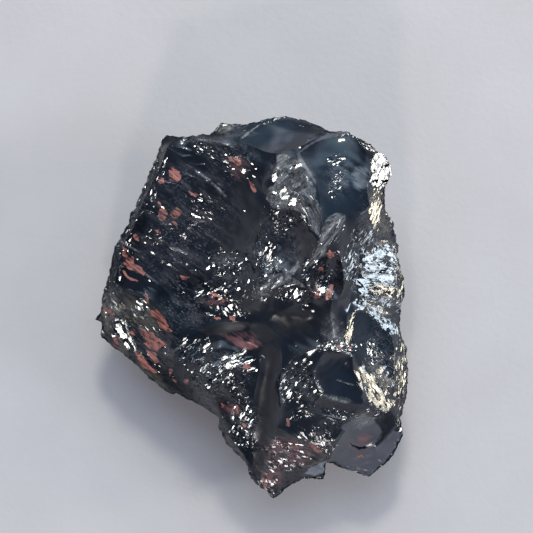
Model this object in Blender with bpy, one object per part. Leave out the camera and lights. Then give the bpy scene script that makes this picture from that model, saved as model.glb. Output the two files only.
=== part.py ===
"""Shungite nugget: one broken lump of glassy black stone, lying on its flat foot.

The stone is two skins that meet along its widest line, the rim. Each skin is held up by its ridge
lines, and between them the surface sags into hollows or swells into lumps, as broken glass does.
Built in metres, +Z up, with the origin under the middle of the stone.
"""

import bmesh
import bpy
import numpy as np
from mathutils import Vector, noise
from mathutils.geometry import delaunay_2d_cdt

MM = 0.001
TOP_STEP = 0.92  # mm between points of the upper skin
UNDER_STEP = 1.4  # mm between points of the lower skin
STONE_COLOUR = (0.012, 0.014, 0.019, 1.0)
STONE_ROUGHNESS = 0.14
GLASS_INDEX = 1.75

# Corners are (x, y, z) in millimetres: x to the right, y to the back, z up from the foot.
# Hollows are (x, y, reach, depth) in millimetres, and a lump has a negative depth.
RIM = [
    (-13.3, 27.7, 15), (-11.4, 27.5, 15.5), (-9.4, 27.5, 16), (-6.6, 27.8, 16.3), (-4.8, 29.6, 16),
    (-1.8, 29.4, 16.4), (0.8, 29.6, 16.8), (1.8, 29.9, 16.8), (3.8, 30.4, 16.6), (6.2, 30.6, 16.6),
    (9.1, 29.9, 16.8), (11, 29.1, 17.4), (12.6, 28.3, 18.4), (15.5, 28, 19.3), (17, 27, 19.6),
    (18.7, 26.1, 19.4), (20.8, 24.6, 19), (22.1, 22.6, 19.5), (22.4, 21.6, 19.5),
    (21.6, 19.7, 19.3), (21.3, 18.7, 19), (21.3, 17.4, 18.6), (21.4, 16.2, 16.8),
    (22.4, 14.1, 15.2), (23.2, 11, 13.6), (23.4, 8.5, 12.8), (24.2, 5.9, 12.2), (24.6, 3.4, 11.5),
    (24.2, 1.1, 11.2), (24, -0.8, 11), (23.7, -3.4, 10.5), (24.5, -5.4, 10), (25, -6.6, 9.8),
    (25.1, -9.8, 9.3), (25, -13.3, 9), (24.5, -16.2, 8.5), (24, -17.4, 8.4), (24.3, -18.4, 8.2),
    (24.5, -20.3, 7.8), (23.7, -22.2, 7.3), (22.4, -24.3, 7), (20.6, -25.8, 6.8), (19, -27, 6.6),
    (18.2, -27, 6.6), (16.3, -26.1, 7), (14.2, -25.6, 7.2), (13.1, -25.1, 7.6), (12.3, -24.8, 8),
    (12, -26.1, 7), (11.7, -27.4, 6.5), (8.3, -27.4, 7), (6.2, -28.6, 7), (4.3, -30.2, 6.8),
    (3.7, -30.6, 6.8), (3, -29.9, 7), (2.2, -29, 7.4), (1, -28.3, 7.8), (-0.2, -26.7, 8),
    (-1.3, -24.2, 7.5), (-2.9, -22.9, 8), (-4.5, -20.6, 8.3), (-5.1, -18.6, 8.5),
    (-5.1, -17.4, 8.7), (-6.9, -16.3, 8.8), (-9.8, -14.7, 8.7), (-12, -13.6, 8.3),
    (-12.6, -13.8, 8), (-14.6, -12.6, 7.8), (-16.5, -11, 7.6), (-17.3, -9.9, 7.6),
    (-19.4, -8.3, 7.5), (-20.8, -6.9, 7.5), (-22.4, -6.1, 7.5), (-24, -4.6, 7.5),
    (-24.2, -3.8, 7.6), (-24, -2.1, 7.8), (-24.6, -1.9, 7.5), (-25, -1.6, 7.5), (-24.2, -0.5, 8.2),
    (-23.7, 1.8, 9), (-23.4, 3, 9.8), (-22.6, 5.9, 11), (-22.2, 7.8, 11.8), (-21.4, 10.2, 12.8),
    (-21, 10.9, 13), (-20.2, 12.8, 13.5), (-19.4, 13.8, 13.8), (-19.5, 15, 14),
    (-18.6, 16.3, 14.2), (-17.4, 18.6, 14.5), (-16.2, 21.3, 14.5), (-14.9, 24.2, 14.5),
    (-14.4, 25.6, 14.7), (-14.1, 27, 14.8),
]
TOP_RIDGES = {
    "left_shoulder": [
        (-11.4, 27.5, 15.5), (-13, 25.8, 17.2), (-14.2, 22.6, 17), (-15.8, 19.4, 16.8),
        (-17.3, 16.2, 16.6), (-18.4, 13.3, 16), (-19.8, 10.9, 15.2), (-20.8, 7.5, 13.8),
        (-21.8, 3.8, 12.2), (-22.2, 1.4, 11.2), (-21.4, -2.2, 10.6), (-20.3, -4.6, 10.2),
        (-19.5, -6.9, 9.3), (-19.4, -8.3, 7.5),
    ],
    "corner_valley": [(-20.6, -0.5, 10.7), (-19.4, -2.6, 9.7), (-18.4, -5.3, 9.1), (-18.1, -7.2, 8.8)],
    "corner_edge": [
        (-21.8, 3.8, 12.2), (-19.4, 3.2, 12.9), (-16.6, 2.1, 13.4), (-14.9, 0.5, 13.6),
        (-13.3, -1.4, 13.6), (-12.3, -3.7, 13.4), (-12.8, -6.1, 12.8),
    ],
    "corner_foot": [(-19.5, -6.9, 9.3), (-17.4, -8.3, 9.2), (-15.2, -10.1, 9.5), (-13, -10.7, 10.3)],
    "channel_outer": [
        (-12.8, -6.1, 12.8), (-10.6, -5, 13.6), (-8.5, -3.5, 14.4), (-6.1, -2.6, 15),
        (-3, -1.9, 15.6), (-0.2, -1.9, 16), (2.1, -2.4, 16.3), (3.8, -3.8, 16.5),
        (4.8, -6.1, 16.5), (5, -9, 16.3), (4.5, -12.2, 15.9), (4.8, -15.4, 15.3), (4.2, -18.6, 14),
        (3.2, -21.8, 12), (2.1, -25, 10), (1.4, -27, 8.7), (1, -28.3, 7.8),
    ],
    "channel_inner": [
        (-8.2, -5.9, 13.6), (-5.8, -5.1, 14.2), (-3, -4.6, 14.8), (-0.5, -5.1, 15.2),
        (1.1, -6.4, 15.3), (1.6, -8.5, 15.2), (1, -11.4, 14.5), (0.5, -13.8, 13.6),
        (0.5, -16.5, 12.6), (0.3, -19.4, 11.6), (0.2, -22.2, 10.5), (0.3, -25, 9.3),
        (-0.2, -26.7, 8),
    ],
    "front_crest": [
        (-12.8, -6.1, 12.8), (-13.6, -8.2, 11.3), (-13, -10.7, 10.3), (-10.7, -12.3, 10.2),
        (-8.2, -13.9, 10.6), (-5.9, -15, 10.9), (-4.6, -17.1, 10.8), (-3.7, -19.7, 10.4),
        (-2.1, -22.1, 9.8), (-0.6, -24.2, 9.3), (-0.2, -26.7, 8),
    ],
    "lobe_top": [(0.5, -13.8, 13.6), (-1.8, -14.1, 12.9), (-4, -14.9, 12), (-5.9, -15, 10.9)],
    "face_edge": [
        (0.8, 29.6, 16.8), (-1.8, 26.7, 19.2), (-0.8, 24.2, 20), (0.6, 21.9, 20.5),
        (1.8, 19, 20.8), (3, 16.2, 21), (1.8, 13.4, 20.2), (0.8, 10.2, 19.6), (1.3, 7.5, 19.3),
        (2.2, 5.3, 19.4), (1.8, 2.7, 18.8), (-0.2, 0.6, 17.2), (-1.8, -0.5, 16.3),
        (-3, -1.9, 15.6),
    ],
    "frost_left": [
        (3, 16.2, 21), (5.4, 15.7, 21.3), (7, 15.4, 21.6), (8.6, 13.6, 22), (9.9, 11.7, 22.4),
        (10.9, 10.6, 22.6),
    ],
    "frost_start": [(1.8, 19, 20.8), (2.1, 21.9, 21), (3.4, 24.6, 21.2)],
    "crest": [
        (7.8, 25.6, 22), (7.4, 24.3, 22.4), (8.5, 22.9, 22.6), (9.8, 21.1, 22.9), (10.6, 19, 23.1),
        (10.9, 16.6, 23.2), (11, 14.6, 23.2), (11.2, 12.5, 23), (10.9, 10.6, 22.6),
    ],
    "back_edge": [
        (-1.8, 26.7, 19.2), (1.3, 25.3, 20.4), (3.4, 24.6, 21.2), (5.6, 25, 21.7), (7.8, 25.6, 22),
        (9.8, 26.7, 21.1), (11.4, 27.2, 20.4), (13.4, 27.6, 19.8), (15.5, 28, 19.3),
    ],
    "back_bevel": [(7.8, 25.6, 22), (9.4, 27, 21), (11, 28, 19.6), (12.6, 28.3, 18.4)],
    "scoop_right": [
        (15.5, 28, 19.3), (17.1, 26.4, 20.6), (18.1, 24.6, 21.4), (18.6, 22.2, 21.8),
        (18.2, 19.7, 21.8), (18.4, 17.8, 21.6), (18.7, 16.3, 21),
    ],
    "scoop_ledge": [
        (11.2, 12.5, 23), (12.6, 13.9, 22.6), (13.8, 15.2, 22.2), (15, 15.2, 21.8),
        (16.6, 14.9, 21.3), (18.7, 16.3, 21), (21.3, 17.4, 18.6),
    ],
    "scratched_left": [(10.9, 10.6, 22.6), (9.8, 8.5, 22.2), (8.5, 6.6, 21.6), (7.7, 5.1, 21)],
    "scratched_right": [
        (15, 15.2, 21.8), (13.9, 12.6, 22), (12.5, 10.6, 21.9), (11.4, 9.1, 21.7),
        (10.4, 7.2, 21.4), (9.3, 5.4, 21), (8.5, 4, 20.6),
    ],
    "window": [
        (11.4, 9.1, 21.7), (13.6, 9, 20.9), (14.4, 6.9, 20.6), (14.6, 4.6, 19.9),
        (14.2, 2.4, 19.2), (12.8, 1.6, 19.4), (10.7, 2.2, 19.9), (8.5, 4, 20.6),
    ],
    "flank_top": [
        (13.6, 9, 20.9), (15.5, 9.8, 19.6), (17, 9, 18.2), (17.1, 6.9, 17.6), (16.8, 4.6, 17.2),
        (15.8, 3, 17.4), (15.7, 1.1, 17.2), (15.2, -1, 17.6), (15.4, -3, 17.2), (16.3, -4.6, 16.6),
        (16.6, -5.8, 16.2), (16.2, -7.5, 16.2), (16.3, -9.4, 16), (17.1, -11.2, 15.6),
        (17.8, -13.3, 15.2), (17.8, -14.9, 14.6),
    ],
    "flank_upper": [(16.6, 14.9, 21.3), (18.4, 13.3, 19.4), (18.4, 10.7, 18), (17, 9, 18.2)],
    "flank_step": [(18.4, 10.7, 18), (20.6, 11, 15.8), (23.2, 11, 13.6)],
    "flank_olive": [(18.7, 16.3, 21), (19.7, 13.9, 18), (20.6, 11, 15.8)],
    "flank_shelf": [
        (15.7, 1.1, 17.2), (18.1, 1.8, 15.8), (20.6, 1, 14), (22.6, 1.3, 12.6), (24.2, 1.1, 11.2),
    ],
    "oval_top": [
        (15.2, -1, 17.6), (17, 0, 16.6), (18.7, -0.5, 15.4), (20.5, -1.4, 14.2), (21.9, -2.9, 13),
        (22.6, -5, 12.2), (22.9, -7.5, 11.8), (22.9, -10.1, 11.4), (22.7, -12.3, 11.6),
        (23.2, -14.9, 10.4), (24.5, -16.2, 8.5),
    ],
    "gold_foot": [
        (16.6, -5.8, 16.2), (17.8, -8.2, 14.8), (19, -10.2, 14.2), (20.6, -12.2, 13.2),
        (22.7, -12.3, 11.6),
    ],
    "gold_bottom": [(17.8, -14.9, 14.6), (19.7, -15.7, 13.2), (21.6, -16, 12), (23.2, -14.9, 10.4)],
    "plate_right": [
        (12.8, 1.6, 19.4), (12.6, -1, 19), (13, -3.7, 18.7), (12.3, -5.9, 18.2),
        (14.2, -6.6, 17.4), (16.2, -7.5, 16.2),
    ],
    "hall_left": [
        (8.5, 4, 20.6), (7.8, 1.8, 19.2), (6.2, 0.5, 18.2), (4, -0.5, 17.2), (2.1, -2.4, 16.3),
    ],
    "hall_bottom": [
        (12.3, -5.9, 18.2), (10.4, -6.1, 17.9), (8.5, -6.9, 17.4), (6.6, -8.5, 16.9),
        (5, -9, 16.3),
    ],
    "plate_lower": [
        (12.3, -5.9, 18.2), (10.4, -8.5, 17.4), (10.1, -11, 17), (11.4, -13.4, 16.4),
        (13.6, -14.4, 15.8), (15.8, -14.9, 15.2), (17.8, -14.9, 14.6),
    ],
    "lens_lower": [
        (11.4, -13.4, 16.4), (9.9, -15.2, 15.2), (11, -16.8, 14), (13, -17.6, 13.4),
        (14.7, -17.8, 13.2), (16.2, -16.8, 13.6), (17.8, -14.9, 14.6),
    ],
    "slate_top": [
        (16.2, -16.8, 13.6), (15.2, -18.4, 12.6), (13.8, -20.3, 12), (12.6, -22.2, 11),
        (12.2, -23.5, 9.6), (12.3, -24.8, 8),
    ],
    "hook_left": [
        (19.7, -15.7, 13.2), (20.5, -17.8, 11.2), (21.3, -19.4, 9.8), (20.2, -21, 9.2),
        (20, -22.4, 8.7),
    ],
    "hook_right": [
        (21.6, -16, 12), (23.2, -16.6, 10), (23.4, -18.4, 8.8), (23, -20.2, 8.2),
        (21.6, -21.1, 8.2), (20, -22.4, 8.7),
    ],
    "hook_end": [(23.2, -16.6, 10), (24, -17.4, 8.4)],
    "tip_top": [
        (4.2, -18.6, 14), (6.2, -19.8, 13.6), (8.3, -20.5, 13.4), (10.4, -21.1, 12.8),
        (12.6, -22.2, 11),
    ],
    "tip_lower": [
        (2.1, -25, 10), (4.6, -25.1, 9.8), (7.2, -25.8, 9), (9.1, -25.1, 9.2), (11, -24.3, 9.3),
        (12.2, -23.5, 9.6),
    ],
    "tip_ridge": [(4.6, -25.1, 9.8), (4, -27.7, 8.4), (3.7, -30.6, 6.8)],
    "tip_side": [(7.2, -25.8, 9), (8.3, -27.4, 7)],
    "small_back_facet": [(-6.6, 27.8, 16.3), (-3.2, 27.7, 18), (-1.8, 29.4, 16.4)],
    "small_back_join": [(-3.2, 27.7, 18), (-1.8, 26.7, 19.2)],
    "face_upper": [(-9.4, 27.5, 16), (-6.2, 26.6, 17.9), (-3.5, 25.9, 19), (-0.8, 24.2, 20)],
    "band_upper": [(2.2, 5.3, 19.4), (3.8, 6.2, 19.9), (5.9, 5.9, 20.3), (7.7, 5.1, 21)],
    "band_lower": [(1.8, 2.7, 18.8), (3.8, 3.7, 19.4), (6.2, 3.4, 19.7), (8.5, 4, 20.6)],
}
TOP_HOLLOWS = [
    (5.4, 27.7, 4, 0.5), (14.6, 21.4, 5, 0.5), (5.9, 19.8, 4, -0.9), (20.3, 21.9, 2.5, -0.4),
    (-8.2, 19, 8, 0.6), (-9.8, 8.2, 7, 0.7), (-4.2, 11.8, 5, 0.4), (-13.8, 15, 4, -0.4),
    (5.4, 10.6, 4, 1.7), (12.3, 5.4, 3, 2.2), (-1, -3.4, 3, 0.7), (2.9, -10.6, 3, 1),
    (2.4, -17, 3, 0.9), (1.8, -22.6, 2.5, 0.5), (8.6, -3.4, 5, 1.6), (13.9, -10.6, 4, 0.7),
    (13.6, -16, 2.5, 0.5), (19.7, -5.8, 4.5, 1.8), (20.3, 5.9, 4, -0.7), (17.1, -22.6, 5, 0.9),
    (-4.6, -9.4, 4, -1), (-16.2, -2.6, 3.5, 0.4), (-2.4, -17.8, 3, -0.4), (7.5, -22.9, 3, 0.5),
    (7.5, -12.2, 4, 0.6), (-7.4, 1.4, 5, 0.6),
]
UNDER_RIDGES = {
    "foot": [
        (-8.8, 16.6, 0), (-3.7, 21, 0), (1.8, 19.7, 0), (10.7, 19, 0), (15.2, 13.3, 0),
        (16.2, 7.5, 0), (15.5, -3.4, 0), (16.2, -10.1, 0), (12.6, -15.8, 0), (6.2, -19.4, 0),
        (1.8, -18.4, 0), (-4.2, -12.2, 0), (-11.4, -4.2, 0), (-13.6, 1.4, 0), (-12.6, 8.6, 0),
        (-8.8, 16.6, 0),
    ],
    "rib_0": [(-14.1, 27, 14.8), (-12.6, 21, 6), (-8.8, 16.6, 0)],
    "rib_1": [(-4.8, 29.6, 16), (-2.4, 25.4, 4.8), (1.8, 19.7, 0)],
    "rib_2": [(9.1, 29.9, 16.8), (8.8, 25.4, 5.2), (10.7, 19, 0)],
    "rib_3": [(20.8, 24.6, 19), (17.6, 20.3, 6.4), (10.7, 19, 0)],
    "rib_4": [(23.2, 11, 13.6), (20.6, 11.7, 6), (16.2, 7.5, 0)],
    "rib_5": [(24.6, 3.4, 11.5), (21.6, 1.4, 4.6), (16.2, 7.5, 0)],
    "rib_6": [(25, -6.6, 9.8), (22.1, -6.9, 4), (15.5, -3.4, 0)],
    "rib_7": [(24.3, -18.4, 8.2), (20.6, -16.8, 3), (16.2, -10.1, 0)],
    "rib_8": [(18.2, -27, 6.6), (16.5, -22.6, 2.6), (12.6, -15.8, 0)],
    "rib_9": [(12.3, -24.8, 8), (10.7, -21.9, 2.8), (6.2, -19.4, 0)],
    "rib_10": [(3.7, -30.6, 6.8), (3.4, -25.1, 2.6), (6.2, -19.4, 0)],
    "rib_11": [(-1.3, -24.2, 7.5), (-1.4, -19.7, 2.6), (-4.2, -12.2, 0)],
    "rib_12": [(-9.8, -14.7, 8.7), (-8.5, -11, 2.9), (-4.2, -12.2, 0)],
    "rib_13": [(-19.4, -8.3, 7.5), (-16.2, -5.3, 2.6), (-11.4, -4.2, 0)],
    "rib_14": [(-23.7, 1.8, 9), (-19.4, 2.7, 3.4), (-13.6, 1.4, 0)],
    "rib_15": [(-20.2, 12.8, 13.5), (-17.3, 11, 5.2), (-12.6, 8.6, 0)],
    "belt_a": [
        (-19.4, 2.7, 3.4), (-17.3, 11, 5.2), (-12.6, 21, 6), (-2.4, 25.4, 4.8), (8.8, 25.4, 5.2),
        (17.6, 20.3, 6.4),
    ],
    "belt_b": [(20.6, 11.7, 6), (21.6, 1.4, 4.6), (22.1, -6.9, 4)],
    "belt_c": [(20.6, -16.8, 3), (16.5, -22.6, 2.6), (10.7, -21.9, 2.8)],
    "belt_d": [(3.4, -25.1, 2.6), (-1.4, -19.7, 2.6), (-8.5, -11, 2.9), (-16.2, -5.3, 2.6)],
}
UNDER_HOLLOWS = [
    (-8.2, 23.8, 4, -0.6), (3.8, 27, 4, 0.7), (15, 24.6, 3.5, -0.5), (21.4, 6.2, 4, 0.8),
    (22.2, -13, 4, -0.5), (7.8, -24.5, 3, 0.3), (-5.8, -16.2, 4, 0.5), (-19.4, -2.6, 3.5, -0.4),
    (-18.6, 7, 4, -0.5), (-16.2, 16.6, 4, 0.7), (-14.6, 3, 4, -0.5), (18.7, 15.8, 4, -0.4),
    (18.2, -17.8, 4, -0.5),
]
# Wear, as (wavelength, height) in millimetres: the waviness of the broken faces.
WEAR = [(7.0, 0.22), (3.2, 0.13), (1.7, 0.06)]
# Hackly patches on the upper side, as (x, y, reach, height) in millimetres.
HACKLE = [
    (20.3, 5.9, 4.5, 0.55), (-4.6, -9, 5, 0.5), (5.4, 19.8, 5, 0.4), (20.3, 21.9, 3, 0.4),
    (7, -23.4, 4, 0.3), (-2.1, -17.8, 3.5, 0.4), (1.8, 8.2, 3.5, 0.35), (7.8, 1.4, 3.5, 0.4),
    (-19.4, -1.8, 3.5, 0.35), (7.8, -13.8, 3.5, 0.3), (23.5, -13, 3, 0.35), (-6.6, 3.8, 4, 0.3),
]
HACKLE_WAVELENGTH = 2.1


def clear_scene():
    for obj in list(bpy.data.objects):
        bpy.data.objects.remove(obj, do_unlink=True)


def key(corner):
    return (round(corner[0], 3), round(corner[1], 3))


def split_line(corners, step):
    """The corners, with points added so that no two are further apart than the step."""
    found = [corners[0]]
    for start, end in zip(corners, corners[1:]):
        length = np.hypot(end[0] - start[0], end[1] - start[1])
        count = max(1, int(round(length / step)))
        for i in range(1, count + 1):
            share = i / count
            found.append(tuple(a * (1 - share) + b * share for a, b in zip(start, end)))
    return found


def curved_line(corners, step):
    """The line bent smoothly through its corners, with points no further apart than the step."""
    spots = np.array(corners, float)
    run = np.diff(spots, axis=0)
    length = np.hypot(run[:, 0], run[:, 1])
    slope = np.vstack([run[:1] / length[0], run[1:] + run[:-1], run[-1:] / length[-1]])
    slope[1:-1] /= np.hypot(slope[1:-1, 0], slope[1:-1, 1])[:, None]
    found = [corners[0]]
    for i, reach in enumerate(length):
        count = max(1, int(round(reach / step)))
        for t in np.arange(1, count) / count:
            spot = (
                (1 + 2 * t) * (1 - t) ** 2 * spots[i]
                + t * (1 - t) ** 2 * reach * slope[i]
                + t * t * (3 - 2 * t) * spots[i + 1]
                - t * t * (1 - t) * reach * slope[i + 1]
            )
            found.append(tuple(spot.tolist()))
        found.append(corners[i + 1])
    return found


def inside_loop(x, y, loop):
    """True for each point that lies inside a closed loop of corners."""
    inside = np.zeros(len(x), bool)
    for (x0, y0, *_), (x1, y1, *_) in zip(loop, loop[1:] + loop[:1]):
        if y0 == y1:
            continue
        crosses = (y0 > y) != (y1 > y)
        inside ^= crosses & (x < (x1 - x0) * (y - y0) / (y1 - y0) + x0)
    return inside


def fill_points(rim, held, step, empty_loop):
    """Evenly spread points inside the rim, clear of every held point."""
    xs = np.arange(-27, 28, step)
    ys = np.arange(-33, 34, step * 0.866)
    x, y = np.meshgrid(xs, ys)
    x[1::2] += step / 2
    x, y = x.ravel(), y.ravel()
    keep = inside_loop(x, y, rim)
    if empty_loop:
        keep &= ~inside_loop(x, y, empty_loop)
    x, y = x[keep], y[keep]
    held = np.array(held)
    gaps = np.hypot(x[:, None] - held[:, 0], y[:, None] - held[:, 1]).min(axis=1)
    keep = gaps > step * 0.6
    return list(zip(x[keep], y[keep]))


def lay_sheet(rim, ridges, step, rim_step, empty_loop=None):
    """Points (z unknown where nan) and triangles of one skin, with an edge along every ridge."""
    index, points, edges = {}, [], []

    def hold(line):
        before = None
        for corner in line:
            spot = index.setdefault(key(corner), len(points))
            if spot == len(points):
                points.append(corner)
            if before is not None and before != spot:
                edges.append((before, spot))
            before = spot

    rim_line = split_line(rim + rim[:1], rim_step)
    hold(rim_line)
    for line in ridges.values():
        hold(curved_line(line, step))
    fill = fill_points(rim, points, step, empty_loop)
    flat = [Vector(p[:2]) for p in points] + [Vector(p) for p in fill]
    laid = delaunay_2d_cdt(flat, edges, [], 0, 1e-4, True)
    xy = np.array([tuple(v) for v in laid[0]])
    faces = np.array([f for f in laid[2]])
    z = np.full(len(xy), np.nan)
    for i, sources in enumerate(laid[3]):
        held = [s for s in sources if s < len(points)]
        if held:
            z[i] = points[held[0]][2]
        elif not sources:
            nearest = min(points, key=lambda p: np.hypot(p[0] - xy[i, 0], p[1] - xy[i, 1]))
            z[i] = nearest[2]
    middle = xy[faces].mean(axis=1)
    faces = faces[inside_loop(middle[:, 0], middle[:, 1], rim_line[:-1])]
    a, b, c = xy[faces[:, 0]], xy[faces[:, 1]], xy[faces[:, 2]]
    turn = (b - a)[:, 0] * (c - a)[:, 1] - (b - a)[:, 1] * (c - a)[:, 0]
    faces[turn < 0] = faces[turn < 0][:, ::-1]
    return np.column_stack([xy, z]), faces


def sag(points, faces, hollows):
    """Heights for the points that no ridge holds: a skin stretched between ridges, with hollows."""
    xy, z = points[:, :2], points[:, 2].copy()
    pairs, weights = [], []
    area = np.zeros(len(xy))
    for turn in range(3):
        i, j, k = faces[:, turn], faces[:, (turn + 1) % 3], faces[:, (turn + 2) % 3]
        u, v = xy[i] - xy[k], xy[j] - xy[k]
        cross = np.abs(u[:, 0] * v[:, 1] - u[:, 1] * v[:, 0])
        pairs.append(np.column_stack([i, j]))
        weights.append(np.clip((u * v).sum(axis=1) / np.maximum(cross, 1e-9) / 2, 0.01, 50))
        area += np.bincount(i, cross / 6, len(xy))
    i, j = np.concatenate(pairs).T
    w = np.concatenate(weights)
    total = np.bincount(i, w, len(xy)) + np.bincount(j, w, len(xy))
    pull = np.zeros(len(xy))
    for x, y, reach, depth in hollows:
        far = np.hypot(xy[:, 0] - x, xy[:, 1] - y) / reach
        pull -= 4 * depth / reach**2 * np.clip(1.5 - far, 0, 1) ** 0.5 * area
    z[np.isnan(z) & (total == 0)] = 0.0  # a spare point that no triangle uses
    free = np.isnan(z)
    z[free] = 0.0

    def stiffness(h):
        return total * h - np.bincount(i, w * h[j], len(h)) - np.bincount(j, w * h[i], len(h))

    rest = np.where(free, pull - stiffness(z), 0.0)
    scale = np.where(free, 1 / np.maximum(total, 1e-9), 0.0)
    step = rest * scale
    size = (rest * step).sum()
    for _ in range(2000):
        if size < 1e-12:
            break
        pushed = np.where(free, stiffness(step), 0.0)
        share = size / (step * pushed).sum()
        z += share * step
        rest -= share * pushed
        eased = rest * scale
        size, before = (rest * eased).sum(), size
        step = eased + size / before * step
    return np.column_stack([xy, z])


def join_skins(top, top_faces, under, under_faces, rim_line):
    """One closed set of points and triangles: the two skins share the points of the rim."""
    on_rim = {key(p) for p in rim_line}
    spots = {key(p): i for i, p in enumerate(top) if key(p) in on_rim}
    points = [tuple(p) for p in top]
    place = []
    for p in under:
        spot = spots.get(key(p)) if key(p) in on_rim else None
        if spot is None:
            spot = len(points)
            points.append(tuple(p))
        place.append(spot)
    flipped = np.array(place)[under_faces][:, ::-1]
    faces = np.vstack([top_faces, flipped])
    # A corner of the rim that both skins close with the same triangle has no thickness: drop it.
    _, same, count = np.unique(
        np.sort(faces, axis=1), axis=0, return_inverse=True, return_counts=True
    )
    faces = faces[count[same.ravel()] == 1]
    used, faces = np.unique(faces, return_inverse=True)
    return np.array(points)[used], faces.reshape(-1, 3)


def point_normals(points, faces):
    a, b, c = points[faces[:, 0]], points[faces[:, 1]], points[faces[:, 2]]
    across = np.cross(b - a, c - a)
    normals = np.zeros_like(points)
    for corner in range(3):
        np.add.at(normals, faces[:, corner], across)
    return normals / np.linalg.norm(normals, axis=1)[:, None]


def wear(points, faces):
    """The points moved along their normals by smooth noise, fading out at the flat foot."""
    normals = point_normals(points, faces)
    amount = np.zeros(len(points))
    for wavelength, height in WEAR:
        shift = Vector((wavelength * 3.7, 0, 0))
        for i, p in enumerate(points):
            amount[i] += height * noise.noise(Vector(p) / wavelength + shift)
    rough = np.zeros(len(points))
    for x, y, reach, height in HACKLE:
        far = np.hypot(points[:, 0] - x, points[:, 1] - y) / reach
        rough = np.maximum(rough, height * np.clip(1.6 * (1.2 - far), 0, 1))
    rough *= np.clip(normals[:, 2] * 4, 0, 1)
    for i in np.nonzero(rough)[0]:
        amount[i] += rough[i] * noise.noise(Vector(points[i]) / HACKLE_WAVELENGTH)
    amount *= np.clip((points[:, 2] - 0.2) / 2.0, 0, 1)
    return points + normals * amount[:, None]


def centred(points):
    """The stone's own box is centred over the origin, and its foot is at z = 0."""
    low, high = points.min(axis=0), points.max(axis=0)
    return points - [(low[0] + high[0]) / 2, (low[1] + high[1]) / 2, low[2]]


def stone_material():
    material = bpy.data.materials.new("glassy black stone")
    material.use_nodes = True
    shader = material.node_tree.nodes["Principled BSDF"]
    shader.inputs["Base Color"].default_value = STONE_COLOUR
    shader.inputs["Roughness"].default_value = STONE_ROUGHNESS
    shader.inputs["IOR"].default_value = GLASS_INDEX
    return material


def build_stone():
    rim_line = split_line(RIM + RIM[:1], TOP_STEP)
    top, top_faces = lay_sheet(RIM, TOP_RIDGES, TOP_STEP, TOP_STEP)
    foot = UNDER_RIDGES["foot"][:-1]
    under, under_faces = lay_sheet(RIM, UNDER_RIDGES, UNDER_STEP, TOP_STEP, foot)
    top = sag(top, top_faces, TOP_HOLLOWS)
    under = sag(under, under_faces, UNDER_HOLLOWS)
    points, faces = join_skins(top, top_faces, under, under_faces, rim_line)
    points = centred(wear(points, faces)) * MM

    mesh = bpy.data.meshes.new("shungite_nugget")
    mesh.from_pydata(points.tolist(), [], faces.tolist())
    mesh.materials.append(stone_material())
    shape = bmesh.new()
    shape.from_mesh(mesh)
    bmesh.ops.recalc_face_normals(shape, faces=shape.faces)
    shape.to_mesh(mesh)
    shape.free()
    stone = bpy.data.objects.new("shungite_nugget", mesh)
    bpy.context.scene.collection.objects.link(stone)


clear_scene()
build_stone()
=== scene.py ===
"""Shungite nugget, the looks: one fine mesh of the stone, its glassy finish, and a plain stage.

The fine mesh is held by the same ridge lines as the plain solid that it replaces. On top of that shape
come the chips, flow steps, shell ripples and nibbled edges, and fields that say where the finish shows
frost, rust and the other marks. Some of those marks are painted light: a blue sky reflection, grey and
pale sheens, highlights along the raised streaks, and the shade in a hole and a crack.
Lengths are in millimetres unless a comment says otherwise: x to the right, y to the back, z up from
the foot. Angles in the tables are in degrees. A turn or a direction is measured from x towards y.
"""

import math
from collections import namedtuple

import bmesh
import bpy
import numpy as np
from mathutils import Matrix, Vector, noise
from mathutils.geometry import delaunay_2d_cdt


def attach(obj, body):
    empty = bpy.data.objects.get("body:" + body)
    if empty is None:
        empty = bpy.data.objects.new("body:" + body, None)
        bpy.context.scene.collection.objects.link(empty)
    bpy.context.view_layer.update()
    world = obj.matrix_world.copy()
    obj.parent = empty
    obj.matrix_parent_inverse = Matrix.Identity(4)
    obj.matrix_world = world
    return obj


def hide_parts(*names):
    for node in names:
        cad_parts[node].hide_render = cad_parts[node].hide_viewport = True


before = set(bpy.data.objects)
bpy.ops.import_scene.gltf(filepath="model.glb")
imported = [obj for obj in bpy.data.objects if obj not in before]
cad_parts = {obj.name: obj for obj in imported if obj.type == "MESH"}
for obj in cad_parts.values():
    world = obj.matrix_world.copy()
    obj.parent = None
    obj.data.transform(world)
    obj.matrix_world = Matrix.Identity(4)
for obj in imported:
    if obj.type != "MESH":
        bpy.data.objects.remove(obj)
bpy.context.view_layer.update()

MM = 0.001
TINY = 1e-12  # keeps a division away from zero

# ---- The stone's shape ----
TOP_STEP = 0.92  # between the corner points of the upper skin
UNDER_STEP = 1.5  # the same on the underside
SPLIT = 5  # each triangle of corner points is cut into this many across
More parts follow.
